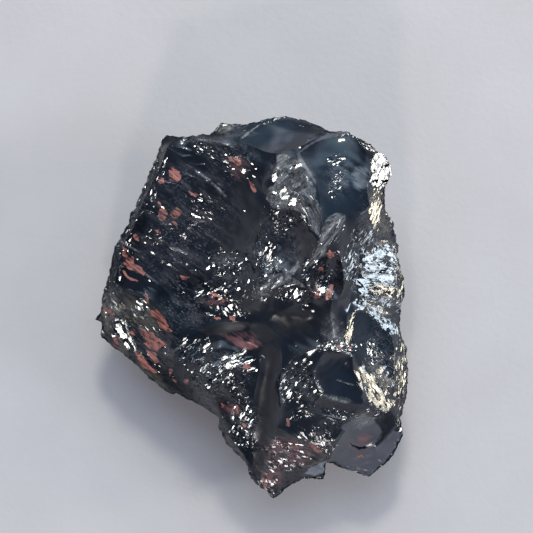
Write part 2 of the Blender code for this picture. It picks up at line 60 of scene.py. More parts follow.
# The widest line of the stone, where its two skins meet: (x, y, z)
RIM = [
    (-13.3, 27.7, 15), (-11.4, 27.5, 15.5), (-9.4, 27.5, 16), (-6.6, 27.8, 16.3), (-4.8, 29.6, 16),
    (-1.8, 29.4, 16.4), (0.8, 29.6, 16.8), (1.8, 29.9, 16.8), (3.8, 30.4, 16.6), (6.2, 30.6, 16.6),
    (9.1, 29.9, 16.8), (11, 29.1, 17.4), (12.6, 28.3, 18.4), (15.5, 28, 19.3), (17, 27, 19.6),
    (18.7, 26.1, 19.4), (20.8, 24.6, 19), (22.1, 22.6, 19.5), (22.4, 21.6, 19.5), (21.6, 19.7, 19.3),
    (21.3, 18.7, 19), (21.3, 17.4, 18.6), (21.4, 16.2, 16.8), (22.4, 14.1, 15.2), (23.2, 11, 13.6),
    (23.4, 8.5, 12.8), (24.2, 5.9, 12.2), (24.6, 3.4, 11.5), (24.2, 1.1, 11.2), (24, -0.8, 11),
    (23.7, -3.4, 10.5), (24.5, -5.4, 10), (25, -6.6, 9.8), (25.1, -9.8, 9.3), (25, -13.3, 9),
    (24.5, -16.2, 8.5), (24, -17.4, 8.4), (24.3, -18.4, 8.2), (24.5, -20.3, 7.8), (23.7, -22.2, 7.3),
    (22.4, -24.3, 7), (20.6, -25.8, 6.8), (19, -27, 6.6), (18.2, -27, 6.6), (16.3, -26.1, 7),
    (14.2, -25.6, 7.2), (13.1, -25.1, 7.6), (12.3, -24.8, 8), (12, -26.1, 7), (11.7, -27.4, 6.5),
    (8.3, -27.4, 7), (6.2, -28.6, 7), (4.3, -30.2, 6.8), (3.7, -30.6, 6.8), (3, -29.9, 7), (2.2, -29, 7.4),
    (1, -28.3, 7.8), (-0.2, -26.7, 8), (-1.3, -24.2, 7.5), (-2.9, -22.9, 8), (-4.5, -20.6, 8.3),
    (-5.1, -18.6, 8.5), (-5.1, -17.4, 8.7), (-6.9, -16.3, 8.8), (-9.8, -14.7, 8.7), (-12, -13.6, 8.3),
    (-12.6, -13.8, 8), (-14.6, -12.6, 7.8), (-16.5, -11, 7.6), (-17.3, -9.9, 7.6), (-19.4, -8.3, 7.5),
    (-20.8, -6.9, 7.5), (-22.4, -6.1, 7.5), (-24, -4.6, 7.5), (-24.2, -3.8, 7.6), (-24, -2.1, 7.8),
    (-24.6, -1.9, 7.5), (-25, -1.6, 7.5), (-24.2, -0.5, 8.2), (-23.7, 1.8, 9), (-23.4, 3, 9.8),
    (-22.6, 5.9, 11), (-22.2, 7.8, 11.8), (-21.4, 10.2, 12.8), (-21, 10.9, 13), (-20.2, 12.8, 13.5),
    (-19.4, 13.8, 13.8), (-19.5, 15, 14), (-18.6, 16.3, 14.2), (-17.4, 18.6, 14.5), (-16.2, 21.3, 14.5),
    (-14.9, 24.2, 14.5), (-14.4, 25.6, 14.7), (-14.1, 27, 14.8),
]
# Lines that hold the upper skin, most of them ridges between two scars
TOP_RIDGES = {
    "left_shoulder": [
        (-11.4, 27.5, 15.5), (-13, 25.8, 17.2), (-14.2, 22.6, 17), (-15.8, 19.4, 16.8), (-17.3, 16.2, 16.6),
        (-18.4, 13.3, 16), (-19.8, 10.9, 15.2), (-20.8, 7.5, 13.8), (-21.8, 3.8, 12.2), (-22.2, 1.4, 11.2),
        (-21.4, -2.2, 10.6), (-20.3, -4.6, 10.2), (-19.5, -6.9, 9.3), (-19.4, -8.3, 7.5),
    ],
    "corner_valley": [(-20.6, -0.5, 10.7), (-19.4, -2.6, 9.7), (-18.4, -5.3, 9.1), (-18.1, -7.2, 8.8)],
    "corner_edge": [
        (-21.8, 3.8, 12.2), (-19.4, 3.2, 12.9), (-16.6, 2.1, 13.4), (-14.9, 0.5, 13.6), (-13.3, -1.4, 13.6),
        (-12.3, -3.7, 13.4), (-12.8, -6.1, 12.8),
    ],
    "corner_foot": [(-19.5, -6.9, 9.3), (-17.4, -8.3, 9.2), (-15.2, -10.1, 9.5), (-13, -10.7, 10.3)],
    "channel_outer": [
        (-12.8, -6.1, 12.8), (-10.6, -5, 13.6), (-8.5, -3.5, 14.4), (-6.1, -2.6, 15), (-3, -1.9, 15.6),
        (-0.2, -1.9, 16), (2.1, -2.4, 16.3), (3.8, -3.8, 16.5), (4.8, -6.1, 16.5), (5, -9, 16.3),
        (4.5, -12.2, 15.9), (4.8, -15.4, 15.3), (4.2, -18.6, 14), (3.2, -21.8, 12), (2.1, -25, 10),
        (1.4, -27, 8.7), (1, -28.3, 7.8),
    ],
    "channel_inner": [
        (-8.2, -5.9, 13.6), (-5.8, -5.1, 14.2), (-3, -4.6, 14.8), (-0.5, -5.1, 15.2), (1.1, -6.4, 15.3),
        (1.6, -8.5, 15.2), (1, -11.4, 14.5), (0.5, -13.8, 13.6), (0.5, -16.5, 12.6), (0.3, -19.4, 11.6),
        (0.2, -22.2, 10.5), (0.3, -25, 9.3), (-0.2, -26.7, 8),
    ],
    "front_crest": [
        (-12.8, -6.1, 12.8), (-13.6, -8.2, 11.3), (-13, -10.7, 10.3), (-10.7, -12.3, 10.2),
        (-8.2, -13.9, 10.6), (-5.9, -15, 10.9), (-4.6, -17.1, 10.8), (-3.7, -19.7, 10.4),
        (-2.1, -22.1, 9.8), (-0.6, -24.2, 9.3), (-0.2, -26.7, 8),
    ],
    "lobe_top": [(0.5, -13.8, 13.6), (-1.8, -14.1, 12.9), (-4, -14.9, 12), (-5.9, -15, 10.9)],
    "face_edge": [
        (0.8, 29.6, 16.8), (-1.8, 26.7, 19.2), (-0.8, 24.2, 20), (0.6, 21.9, 20.5), (1.8, 19, 20.8),
        (3, 16.2, 21), (1.8, 13.4, 20.2), (0.8, 10.2, 19.6), (1.3, 7.5, 19.3), (2.2, 5.3, 19.4),
        (1.8, 2.7, 18.8), (-0.2, 0.6, 17.2), (-1.8, -0.5, 16.3), (-3, -1.9, 15.6),
    ],
    "frost_left": [
        (3, 16.2, 21), (5.4, 15.7, 21.3), (7, 15.4, 21.6), (8.6, 13.6, 22), (9.9, 11.7, 22.4),
        (10.9, 10.6, 22.6),
    ],
    "frost_start": [(1.8, 19, 20.8), (2.1, 21.9, 21), (3.4, 24.6, 21.2)],
    "crest": [
        (7.8, 25.6, 22), (7.4, 24.3, 22.4), (8.5, 22.9, 22.6), (9.8, 21.1, 22.9), (10.6, 19, 23.1),
        (10.9, 16.6, 23.2), (11, 14.6, 23.2), (11.2, 12.5, 23), (10.9, 10.6, 22.6),
    ],
    "back_edge": [
        (-1.8, 26.7, 19.2), (1.3, 25.3, 20.4), (3.4, 24.6, 21.2), (5.6, 25, 21.7), (7.8, 25.6, 22),
        (9.8, 26.7, 21.1), (11.4, 27.2, 20.4), (13.4, 27.6, 19.8), (15.5, 28, 19.3),
    ],
    "back_bevel": [(7.8, 25.6, 22), (9.4, 27, 21), (11, 28, 19.6), (12.6, 28.3, 18.4)],
    "scoop_right": [
        (15.5, 28, 19.3), (17.1, 26.4, 20.6), (18.1, 24.6, 21.4), (18.6, 22.2, 21.8), (18.2, 19.7, 21.8),
        (18.4, 17.8, 21.6), (18.7, 16.3, 21),
    ],
    "scoop_ledge": [
        (11.2, 12.5, 23), (12.6, 13.9, 22.6), (13.8, 15.2, 22.2), (15, 15.2, 21.8), (16.6, 14.9, 21.3),
        (18.7, 16.3, 21), (21.3, 17.4, 18.6),
    ],
    "scratched_left": [(10.9, 10.6, 22.6), (9.8, 8.5, 22.2), (8.5, 6.6, 21.6), (7.7, 5.1, 21)],
    "scratched_right": [
        (15, 15.2, 21.8), (13.9, 12.6, 22), (12.5, 10.6, 21.9), (11.4, 9.1, 21.7), (10.4, 7.2, 21.4),
        (9.3, 5.4, 21), (8.5, 4, 20.6),
    ],
    "window": [
        (11.4, 9.1, 21.7), (13.6, 9, 20.9), (14.4, 6.9, 20.6), (14.6, 4.6, 19.9), (14.2, 2.4, 19.2),
        (12.8, 1.6, 19.4), (10.7, 2.2, 19.9), (8.5, 4, 20.6),
    ],
    "flank_top": [
        (13.6, 9, 20.9), (15.5, 9.8, 19.6), (17, 9, 18.2), (17.1, 6.9, 17.6), (16.8, 4.6, 17.2),
        (15.8, 3, 17.4), (15.7, 1.1, 17.2), (15.2, -1, 17.6), (15.4, -3, 17.2), (16.3, -4.6, 16.6),
        (16.6, -5.8, 16.2), (16.2, -7.5, 16.2), (16.3, -9.4, 16), (17.1, -11.2, 15.6), (17.8, -13.3, 15.2),
        (17.8, -14.9, 14.6),
    ],
    "flank_upper": [(16.6, 14.9, 21.3), (18.4, 13.3, 19.4), (18.4, 10.7, 18), (17, 9, 18.2)],
    "flank_step": [(18.4, 10.7, 18), (20.6, 11, 15.8), (23.2, 11, 13.6)],
    "flank_olive": [(18.7, 16.3, 21), (19.7, 13.9, 18), (20.6, 11, 15.8)],
    "flank_shelf": [
        (15.7, 1.1, 17.2), (18.1, 1.8, 15.8), (20.6, 1, 14), (22.6, 1.3, 12.6), (24.2, 1.1, 11.2),
    ],
    "oval_top": [
        (15.2, -1, 17.6), (17, 0, 16.6), (18.7, -0.5, 15.4), (20.5, -1.4, 14.2), (21.9, -2.9, 13),
        (22.6, -5, 12.2), (22.9, -7.5, 11.8), (22.9, -10.1, 11.4), (22.7, -12.3, 11.6), (23.2, -14.9, 10.4),
        (24.5, -16.2, 8.5),
    ],
    "gold_foot": [
        (16.6, -5.8, 16.2), (17.8, -8.2, 14.8), (19, -10.2, 14.2), (20.6, -12.2, 13.2), (22.7, -12.3, 11.6),
    ],
    "gold_bottom": [(17.8, -14.9, 14.6), (19.7, -15.7, 13.2), (21.6, -16, 12), (23.2, -14.9, 10.4)],
    "plate_right": [
        (12.8, 1.6, 19.4), (12.6, -1, 19), (13, -3.7, 18.7), (12.3, -5.9, 18.2), (14.2, -6.6, 17.4),
        (16.2, -7.5, 16.2),
    ],
    "hall_left": [
        (8.5, 4, 20.6), (7.8, 1.8, 19.2), (6.2, 0.5, 18.2), (4, -0.5, 17.2), (2.1, -2.4, 16.3),
    ],
    "hall_bottom": [
        (12.3, -5.9, 18.2), (10.4, -6.1, 17.9), (8.5, -6.9, 17.4), (6.6, -8.5, 16.9), (5, -9, 16.3),
    ],
    "plate_lower": [
        (12.3, -5.9, 18.2), (10.4, -8.5, 17.4), (10.1, -11, 17), (11.4, -13.4, 16.4), (13.6, -14.4, 15.8),
        (15.8, -14.9, 15.2), (17.8, -14.9, 14.6),
    ],
    "lens_lower": [
        (11.4, -13.4, 16.4), (9.9, -15.2, 15.2), (11, -16.8, 14), (13, -17.6, 13.4), (14.7, -17.8, 13.2),
        (16.2, -16.8, 13.6), (17.8, -14.9, 14.6),
    ],
    "slate_top": [
        (16.2, -16.8, 13.6), (15.2, -18.4, 12.6), (13.8, -20.3, 12), (12.6, -22.2, 11), (12.2, -23.5, 9.6),
        (12.3, -24.8, 8),
    ],
    "hook_left": [
        (19.7, -15.7, 13.2), (20.5, -17.8, 11.2), (21.3, -19.4, 9.8), (20.2, -21, 9.2), (20, -22.4, 8.7),
    ],
    "hook_right": [
        (21.6, -16, 12), (23.2, -16.6, 10), (23.4, -18.4, 8.8), (23, -20.2, 8.2), (21.6, -21.1, 8.2),
        (20, -22.4, 8.7),
    ],
    "hook_end": [(23.2, -16.6, 10), (24, -17.4, 8.4)],
    "tip_top": [
        (4.2, -18.6, 14), (6.2, -19.8, 13.6), (8.3, -20.5, 13.4), (10.4, -21.1, 12.8), (12.6, -22.2, 11),
    ],
    "tip_lower": [
        (2.1, -25, 10), (4.6, -25.1, 9.8), (7.2, -25.8, 9), (9.1, -25.1, 9.2), (11, -24.3, 9.3),
        (12.2, -23.5, 9.6),
    ],
    "tip_ridge": [(4.6, -25.1, 9.8), (4, -27.7, 8.4), (3.7, -30.6, 6.8)],
    "tip_side": [(7.2, -25.8, 9), (8.3, -27.4, 7)],
    "small_back_facet": [(-6.6, 27.8, 16.3), (-3.2, 27.7, 18), (-1.8, 29.4, 16.4)],
    "small_back_join": [(-3.2, 27.7, 18), (-1.8, 26.7, 19.2)],
    "face_upper": [(-9.4, 27.5, 16), (-6.2, 26.6, 17.9), (-3.5, 25.9, 19), (-0.8, 24.2, 20)],
    "band_upper": [(2.2, 5.3, 19.4), (3.8, 6.2, 19.9), (5.9, 5.9, 20.3), (7.7, 5.1, 21)],
    "band_lower": [(1.8, 2.7, 18.8), (3.8, 3.7, 19.4), (6.2, 3.4, 19.7), (8.5, 4, 20.6)],
}
# Where the skin sags between them, or bulges where the depth is below 0: (x, y, reach, depth)
TOP_HOLLOWS = [
    (5.4, 27.7, 4, 0.5), (14.6, 21.4, 5, 0.5), (5.9, 19.8, 4, -0.9), (20.3, 21.9, 2.5, -0.4),
    (-8.2, 19, 8, 0.6), (-9.8, 8.2, 7, 0.7), (-4.2, 11.8, 5, 0.4), (-13.8, 15, 4, -0.4),
    (5.4, 10.6, 4, 1.7), (12.3, 5.4, 3, 2.2), (-1, -3.4, 3, 0.7), (2.9, -10.6, 3, 1), (2.4, -17, 3, 0.9),
    (1.8, -22.6, 2.5, 0.5), (8.6, -3.4, 5, 1.6), (13.9, -10.6, 4, 0.7), (13.6, -16, 2.5, 0.5),
    (19.7, -5.8, 4.5, 1.8), (20.3, 5.9, 4, -0.7), (17.1, -22.6, 5, 0.9), (-4.6, -9.4, 4, -1),
    (-16.2, -2.6, 3.5, 0.4), (-2.4, -17.8, 3, -0.4), (7.5, -22.9, 3, 0.5), (7.5, -12.2, 4, 0.6),
    (-7.4, 1.4, 5, 0.6),
]
# The same underneath: the edge of the flat foot, ribs from it to the rim, and belts across the ribs
UNDER_RIDGES = {
    "foot": [
        (-8.8, 16.6, 0), (-3.7, 21, 0), (1.8, 19.7, 0), (10.7, 19, 0), (15.2, 13.3, 0), (16.2, 7.5, 0),
        (15.5, -3.4, 0), (16.2, -10.1, 0), (12.6, -15.8, 0), (6.2, -19.4, 0), (1.8, -18.4, 0),
        (-4.2, -12.2, 0), (-11.4, -4.2, 0), (-13.6, 1.4, 0), (-12.6, 8.6, 0), (-8.8, 16.6, 0),
    ],
    "rib_0": [(-14.1, 27, 14.8), (-12.6, 21, 6), (-8.8, 16.6, 0)],
    "rib_1": [(-4.8, 29.6, 16), (-2.4, 25.4, 4.8), (1.8, 19.7, 0)],
    "rib_2": [(9.1, 29.9, 16.8), (8.8, 25.4, 5.2), (10.7, 19, 0)],
    "rib_3": [(20.8, 24.6, 19), (17.6, 20.3, 6.4), (10.7, 19, 0)],
    "rib_4": [(23.2, 11, 13.6), (20.6, 11.7, 6), (16.2, 7.5, 0)],
    "rib_5": [(24.6, 3.4, 11.5), (21.6, 1.4, 4.6), (16.2, 7.5, 0)],
    "rib_6": [(25, -6.6, 9.8), (22.1, -6.9, 4), (15.5, -3.4, 0)],
    "rib_7": [(24.3, -18.4, 8.2), (20.6, -16.8, 3), (16.2, -10.1, 0)],
    "rib_8": [(18.2, -27, 6.6), (16.5, -22.6, 2.6), (12.6, -15.8, 0)],
    "rib_9": [(12.3, -24.8, 8), (10.7, -21.9, 2.8), (6.2, -19.4, 0)],
    "rib_10": [(3.7, -30.6, 6.8), (3.4, -25.1, 2.6), (6.2, -19.4, 0)],
    "rib_11": [(-1.3, -24.2, 7.5), (-1.4, -19.7, 2.6), (-4.2, -12.2, 0)],
    "rib_12": [(-9.8, -14.7, 8.7), (-8.5, -11, 2.9), (-4.2, -12.2, 0)],
    "rib_13": [(-19.4, -8.3, 7.5), (-16.2, -5.3, 2.6), (-11.4, -4.2, 0)],
    "rib_14": [(-23.7, 1.8, 9), (-19.4, 2.7, 3.4), (-13.6, 1.4, 0)],
    "rib_15": [(-20.2, 12.8, 13.5), (-17.3, 11, 5.2), (-12.6, 8.6, 0)],
    "belt_a": [
        (-19.4, 2.7, 3.4), (-17.3, 11, 5.2), (-12.6, 21, 6), (-2.4, 25.4, 4.8), (8.8, 25.4, 5.2),
        (17.6, 20.3, 6.4),
    ],
    "belt_b": [(20.6, 11.7, 6), (21.6, 1.4, 4.6), (22.1, -6.9, 4)],
    "belt_c": [(20.6, -16.8, 3), (16.5, -22.6, 2.6), (10.7, -21.9, 2.8)],
    "belt_d": [(3.4, -25.1, 2.6), (-1.4, -19.7, 2.6), (-8.5, -11, 2.9), (-16.2, -5.3, 2.6)],
}
UNDER_HOLLOWS = [
    (-8.2, 23.8, 4, -0.6), (3.8, 27, 4, 0.7), (15, 24.6, 3.5, -0.5), (21.4, 6.2, 4, 0.8),
    (22.2, -13, 4, -0.5), (7.8, -24.5, 3, 0.3), (-5.8, -16.2, 4, 0.5), (-19.4, -2.6, 3.5, -0.4),
    (-18.6, 7, 4, -0.5), (-16.2, 16.6, 4, 0.7), (-14.6, 3, 4, -0.5), (18.7, 15.8, 4, -0.4),
    (18.2, -17.8, 4, -0.5),
]
WEAR = [(7.0, 0.22), (3.2, 0.13), (1.7, 0.06)]  # (wavelength, height) of the waviness
LUMPS = [  # (x, y, reach, height) of the lumpy patches
    (20.3, 5.9, 4.5, 0.55), (-4.6, -9, 5, 0.5), (5.4, 19.8, 5, 0.4), (20.3, 21.9, 3, 0.4),
    (7, -23.4, 4, 0.3), (-2.1, -17.8, 3.5, 0.4), (1.8, 8.2, 3.5, 0.35), (7.8, 1.4, 3.5, 0.4),
    (-19.4, -1.8, 3.5, 0.35), (7.8, -13.8, 3.5, 0.3), (23.5, -13, 3, 0.35), (-6.6, 3.8, 4, 0.3),
]
LUMP_WAVELENGTH = 2.1

# ---- What lies on the shape ----
# Hackle, patches of splintery chips. A patch is an oval: its place, its reach along and across, and
# its turn. Then come the size, height, direction and stretch of its chips, how many of them shine,
# and the lamp that those mirror. The order of the patches sets their random numbers.
Hackle = namedtuple(
    "Hackle", "x y along across turn size height direction stretch shine lamp", defaults=["key"]
)
HACKLE = {
    "right_flank_upper": (20.3, 7.5, 4, 3, 0, 0.95, 0.3, -5, 2.6, 0.85, "cool_window"),
    "right_flank_lower": (20, 4, 4.4, 2.4, 0, 0.85, 0.3, -10, 2.8, 0.95, "cool_window"),
    "flank_shelf": (19.7, 1.3, 4.2, 1.1, -5, 0.7, 0.18, -5, 2, 0.48, "cool_window"),
    "top_knob": (20.4, 21.8, 1.9, 3.2, 0, 0.9, 0.2, 80, 1.3, 3.3),
    "gold_step": (19.7, 15.2, 1.3, 2.4, 0, 0.6, 0.2, 70, 1.4, 1.17, "gold_lamp"),
    "gold_neck": (19.9, 18, 1.2, 1.6, 0, 0.5, 0.14, 60, 1.4, 0.35, "gold_lamp"),
    "blue_flank": (17.8, 11.7, 2.1, 2.2, 0, 0.6, 0.14, 60, 1.6, 0.22, "cool_window"),
    "gold_band": (19.5, -12.8, 4.2, 1.9, -50, 1, 0.3, -52, 2.4, 2, "gold_lamp"),
    "oval_rim": (20.9, -1.5, 3.8, 1.2, -44, 0.6, 0.16, -45, 2.2, 0.85, "cool_window"),
    "oval_left_rim": (15.6, -3.3, 0.7, 3.1, -12, 0.55, 0.22, 70, 1.6, 1, "gold_lamp"),
    "oval_floor": (19.2, -6.7, 1.8, 2.2, 20, 0.55, 0.2, -55, 1.8, 0.4),
    "right_rim": (23.7, -10.6, 1.3, 7, 0, 0.6, 0.26, 85, 1.5, 0.44, "gold_lamp"),
    "right_rim_upper": (23.7, 6.2, 1.1, 5.4, 0, 0.6, 0.24, 85, 1.5, 0.33, "gold_lamp"),
    "frosted_lump": (5.6, 20, 3.5, 4.2, 0, 1.5, 0.5, 40, 1.4, 0.07),
    "lump_blocks": (5.2, 17.6, 3, 2.2, 0, 2, 0.5, 40, 0.8, 0.2),
    "frosted_tail": (9, 15.5, 1.6, 4.2, 28, 1, 0.2, -60, 2.4, 0.2),
    "scratched_band": (12, 11, 1.4, 4.5, -42, 0.55, 0.1, 50, 4.5, 0.12),
    "scratched_tail": (9, 6.2, 1.43, 2.56, -30, 0.6, 0.16, 50, 2.5, 0.186),
    "centre_left": (2.1, 8.3, 2.08, 3.92, 0, 0.7, 0.26, 60, 1.4, 0.217),
    "centre_top": (5.3, 14.4, 3.38, 2.56, 0, 0.7, 0.24, 40, 1.5, 0.248),
    "centre_strokes": (8.2, 2.3, 4.16, 1.9, 0, 0.6, 0.24, 60, 3, 0.28),
    "centre_band": (2.7, 3.4, 2.86, 2.56, 20, 0.7, 0.18, 40, 2, 0.124),
    "window_glint": (11.2, 4.2, 1.1, 1.3, 0, 1, 0.34, 30, 1.4, 0.84),
    "face_foot": (-4.6, 3, 7.02, 2.56, 0, 0.8, 0.22, 30, 1.5, 0.155),
    "face_foot_right": (-3.4, 7.5, 4.16, 2.56, 0, 0.7, 0.16, 30, 1.5, 0.093),
    "face_low": (-3.7, 0.2, 4.55, 2.16, 0, 0.8, 0.2, -40, 1.8, 0.186),
    "lump_white": (-1.8, -8.2, 3.6, 2.6, 0, 0.9, 0.36, 15, 1.5, 0.4),
    "lump_left": (-6.9, -10.7, 5.46, 3.92, 20, 0.75, 0.3, 45, 2.2, 0.248),
    "lump_top": (-9, -6.2, 3.77, 2.56, 20, 0.8, 0.24, 40, 2, 0.155),
    "corner_bright": (-20.6, -4.3, 1.4, 3.5, 32, 1.3, 0.32, -60, 1.8, 1.2),
    "corner_upper": (-17.6, 0.2, 1.8, 1.8, 0, 0.9, 0.3, -50, 1.6, 0.66),
    "corner_edge": (-22.6, 1, 2.34, 3.24, 0, 0.7, 0.24, -50, 1.5, 0.124),
    "corner_low": (-23.5, -4, 1.69, 3.51, 0, 0.7, 0.22, -50, 1.4, 0.093),
    "front_lobe": (-1.8, -17.4, 2.86, 6.08, 0, 0.7, 0.28, 60, 1.6, 0.248),
    "tip_red": (5.3, -23.2, 5.46, 3.2, 10, 0.8, 0.24, -30, 1.6, 0.36, "front_lamp"),
    "tip_end": (2.6, -27.5, 2.08, 2.97, 0, 0.8, 0.24, -45, 1.6, 0.8, "front_lamp"),
    "tip_right": (11, -20.5, 3.12, 2.16, -35, 0.8, 0.26, -45, 2.2, 1.1, "front_lamp"),
    "plate_left": (7.4, -12.2, 3.38, 5.94, 0, 0.7, 0.15, 50, 1.8, 0.155),
    "plate_top": (13.6, -5.9, 4.55, 1.49, 0, 0.6, 0.2, 10, 1.6, 0.155),
    "lens_edge": (13.4, -16.6, 4.55, 1.49, -5, 0.6, 0.14, -20, 2, 0.124),
    "slate_top": (18.4, -17.3, 2.86, 1.76, 0, 0.5, 0.12, 20, 1.5, 0.16, "front_lamp"),
    "flank_foot": (15.8, 7.4, 1.5, 4.4, 0, 0.5, 0.14, 60, 1.8, 0.3, "cool_window"),
    "back_rim": (19.2, 25.2, 3.4, 0.9, -45, 0.4, 0.12, -45, 1.6, 0.25),
    "corner_wall": (-15.6, -9.6, 8, 1.8, -34, 0.5, 0.16, -40, 2, 0.08),
    "corner_base": (-18.2, -3.2, 4, 5.5, 30, 0.6, 0.16, -50, 2.2, 0.1),
    "left_edge": (-19.6, 11.5, 1.1, 15, -18.3, 0.45, 0.12, 70, 1.6, 0.1),
    "slate_edge": (23.2, -23, 0.5, 3.2, -38, 0.4, 0.1, 50, 1.5, 0.3, "front_lamp"),
    "shoulder_upper": (-15.4, 19.8, 1.43, 6.88, -25, 0.6, 0.16, 70, 1.5, 0.093),
    "shoulder_lower": (-20.6, 7.5, 1.43, 6.48, -20, 0.6, 0.16, 75, 1.8, 0.093),
    "back_glints": (-7, 25.1, 2.47, 1.49, -20, 0.5, 0.2, -25, 1.6, 0.12),
    "back_glints_right": (-2.4, 22.9, 3.38, 1.89, -25, 0.7, 0.22, -25, 1.6, 0.217),
    "face_mid": (-7.4, 16.6, 3.38, 2.56, 0, 0.5, 0.14, -30, 1.6, 0.07),
    "blue_scoop_top": (13.3, 23.6, 1.9, 1, 0, 0.55, 0.12, 20, 1.4, 0.16),
    "blue_scoop_mid": (13.2, 19.6, 1.3, 2.2, -20, 0.5, 0.1, 50, 1.8, 0.14),
    "flank_cream": (20.4, 3.4, 3.8, 1.5, -8, 0.85, 0.3, -10, 2.8, 1.05, "gold_lamp"),
}
# Patches of the finish, ovals too: (x, y, reach along, reach across, turn, amount)
FROST_PATCHES = [
    (1.8, 2.7, 1.6, 1.3, 0, 0.5), (-3.7, 28.8, 2.1, 1.1, 0, 0.45), (-4, 7.8, 2.6, 1.3, 0, 0.35),
    (-22.2, 1.4, 1.6, 3.5, -15, 0.4), (20.6, 1.4, 3.8, 1, -5, 0.5), (13, -3.4, 1.9, 2.9, 0, 0.3),
    (13.4, -14.1, 2.9, 0.6, -10, 0.4), (-1.8, 27.7, 3.2, 0.6, 0, 0.3), (18, -17.6, 2.4, 1.4, 20, 0.7),
]
FROST_SHAPES = {  # outlines: (x, y)
    "lump": [
        (4, 24.5), (5.6, 24.5), (7.2, 23.5), (8.8, 21.3), (10.1, 19.4), (11, 15.8), (11, 13.3),
        (10.7, 11.4), (9.4, 12.6), (8.5, 14.9), (6.2, 15.8), (4.6, 15.5), (3.4, 16), (2.4, 17.4), (2.6, 19),
        (3.9, 20), (3.3, 21.3), (4, 22.9),
    ],
    "scratched": [
        (14.9, 15), (15, 14.2), (13.9, 12.3), (12.6, 10.7), (11.7, 8.8), (10.4, 7.5), (9.1, 6.6),
        (8.6, 6.2), (9.1, 7.8), (10.1, 9.4), (10.6, 10.7), (11, 12.6), (12, 14.6), (13.6, 15.4),
    ],
    "centre": [
        (7.5, 8.2), (7.8, 6.9), (6.6, 5.3), (8.2, 4.3), (8.8, 3.4), (6.6, 4), (4.6, 3.7), (3, 3),
        (1.4, 1.8), (1.1, 3), (2.4, 4.6), (3, 5.6), (5, 5.9), (6.9, 6.9),
    ],
}
# Painted highlight: a pale disc in the blue scoop stands in for the soft highlight there.
HIGHLIGHT_DISC = (17.2, 20.7, 1.6, 2.1, 0, 0.5)
# Painted reflection: the notch facet is painted pale grey-blue, standing in for the sky that it mirrors.
PALE_SHEEN_SHAPES = {  # outlines: (x, y)
    "notch": [(8.4, -26.6), (9.3, -25.5), (11, -24.6), (12.2, -24.2), (12, -26.4), (10.4, -27)],
}
OLIVE_PATCHES = [
    (-19.7, -0.2, 4.2, 2.9, -20, 1), (-16.5, -1.4, 2.9, 2.6, 0, 0.9), (-16.2, -10.6, 4.2, 1.1, -40, 0.8),
    (-20.6, -6.6, 1.9, 1.9, 0, 0.7), (21, 13.3, 1.4, 2.2, 0, 0.9), (21.3, -12, 1.4, 1.4, 0, 0.8),
    (-4, 28.6, 1.9, 1.1, 0, 0.8), (-23.4, -1.8, 1.6, 3.2, 0, 0.6), (3, 3, 1.9, 1.9, 0, 0.5),
    (10.7, -24.5, 2.2, 1.6, 0, 0.6), (-5.6, -18.6, 1.1, 3.5, 0, 0.6), (19.5, 18.2, 1.3, 1.4, 0, 0.6),
]
RED_PATCHES = [
    (18.3, -20.6, 1.7, 0.8, 20, 0.6), (6.6, -22.2, 4.5, 1.8, -8, 0.8), (3.4, -27, 2.2, 1.9, 30, 0.7),
    (-0.6, -5.3, 2.7, 1.1, -4, 1), (-1.8, -4.3, 3.2, 1.3, 0, 0.5), (-21.6, -5, 1.1, 1.4, 0, 0.5),
    (-3, -15.8, 1.9, 1.3, 0, 0.6), (17.4, -21.8, 2.2, 1.4, 0, 0.35), (-1.8, 22.2, 1.7, 2, 0, 0.3),
    (-5.8, 1.4, 2.2, 1.3, 0, 0.4), (10.7, 2.7, 1.6, 1, 0, 0.6), (6.2, -24.2, 4.2, 1.6, 0, 0.5),
]
MATTE_PATCHES = [
    (-4, -2.9, 4.2, 1.1, 8, 1), (1.8, -3.7, 2.6, 1.8, -30, 1), (3, -7.8, 1.9, 3.5, 0, 1),
    (2.7, -13.8, 1.9, 4.2, 0, 1), (2.4, -19.4, 1.8, 3.5, 0, 1), (1.6, -24.5, 1.4, 2.9, 0, 1),
    (-0.2, 1.4, 2.6, 2.2, 0, 0.6), (7, -2.2, 5.4, 2.6, -8, 0.4),
]
# Painted reflection: a grey film on the slate, on the wedge by the back crest and on the crest stands in
# for the paler sheen of these smooth facets.
GREY_SHEEN_SHAPES = {  # outlines: (x, y)
    "slate": [
        (12.4, -24.8), (12.8, -23.5), (13.6, -21.6), (15, -19.4), (14.2, -18.9), (14.9, -18.1),
        (17.1, -17.1), (17.9, -16.6), (19.4, -17.1), (20, -18.1), (20.6, -18.9), (21, -19.7), (20.6, -20.6),
        (20, -21.6), (19.7, -22.2), (20.6, -21.9), (21.9, -20.6), (22.9, -19.4), (23.8, -19.7),
        (24.6, -20.3), (23.8, -21.6), (22.2, -23.8), (20.3, -26.1), (18.6, -27.2), (17.1, -26.6), (15, -26),
        (13.6, -25.6),
    ],
    "wedge": [
        (7.2, 24.5), (8.8, 25.9), (11, 27.2), (12.6, 28), (14.9, 28.2), (15.7, 27.8), (14.2, 27.4),
        (12, 26.9), (10.1, 26.2), (8.5, 25.1), (7.4, 24.3),
    ],
    "crest": [
        (7, 24.5), (7.8, 24.5), (9.3, 21.8), (10.2, 20.3), (10.4, 19), (9.3, 21), (8.2, 22.6), (7.2, 23.8),
    ],
}
DULL_PATCHES = [
    (-18.8, 13.3, 16.5, 2.6, 71.7, 1), (-15, -10.3, 12, 2, -34, 0.5), (-13.5, 28, 6, 2.6, 8, 0.8),
    (-9.8, 0.2, 8, 6.5, 0, 1), (0.4, 27.5, 5, 4, 20, 0.6), (-2.2, -19.5, 9, 1.3, -62, 0.7),
    (6.6, -1.6, 6.5, 3, -5, 0.3), (-4.6, 28.7, 5, 1.8, 8, 0.8), (19.4, 25, 6, 2, -45, 0.9),
    (8, 28.8, 9, 1.4, -12, 0.6), (12.8, 25.2, 5.5, 2.4, -8, 0.2),
]
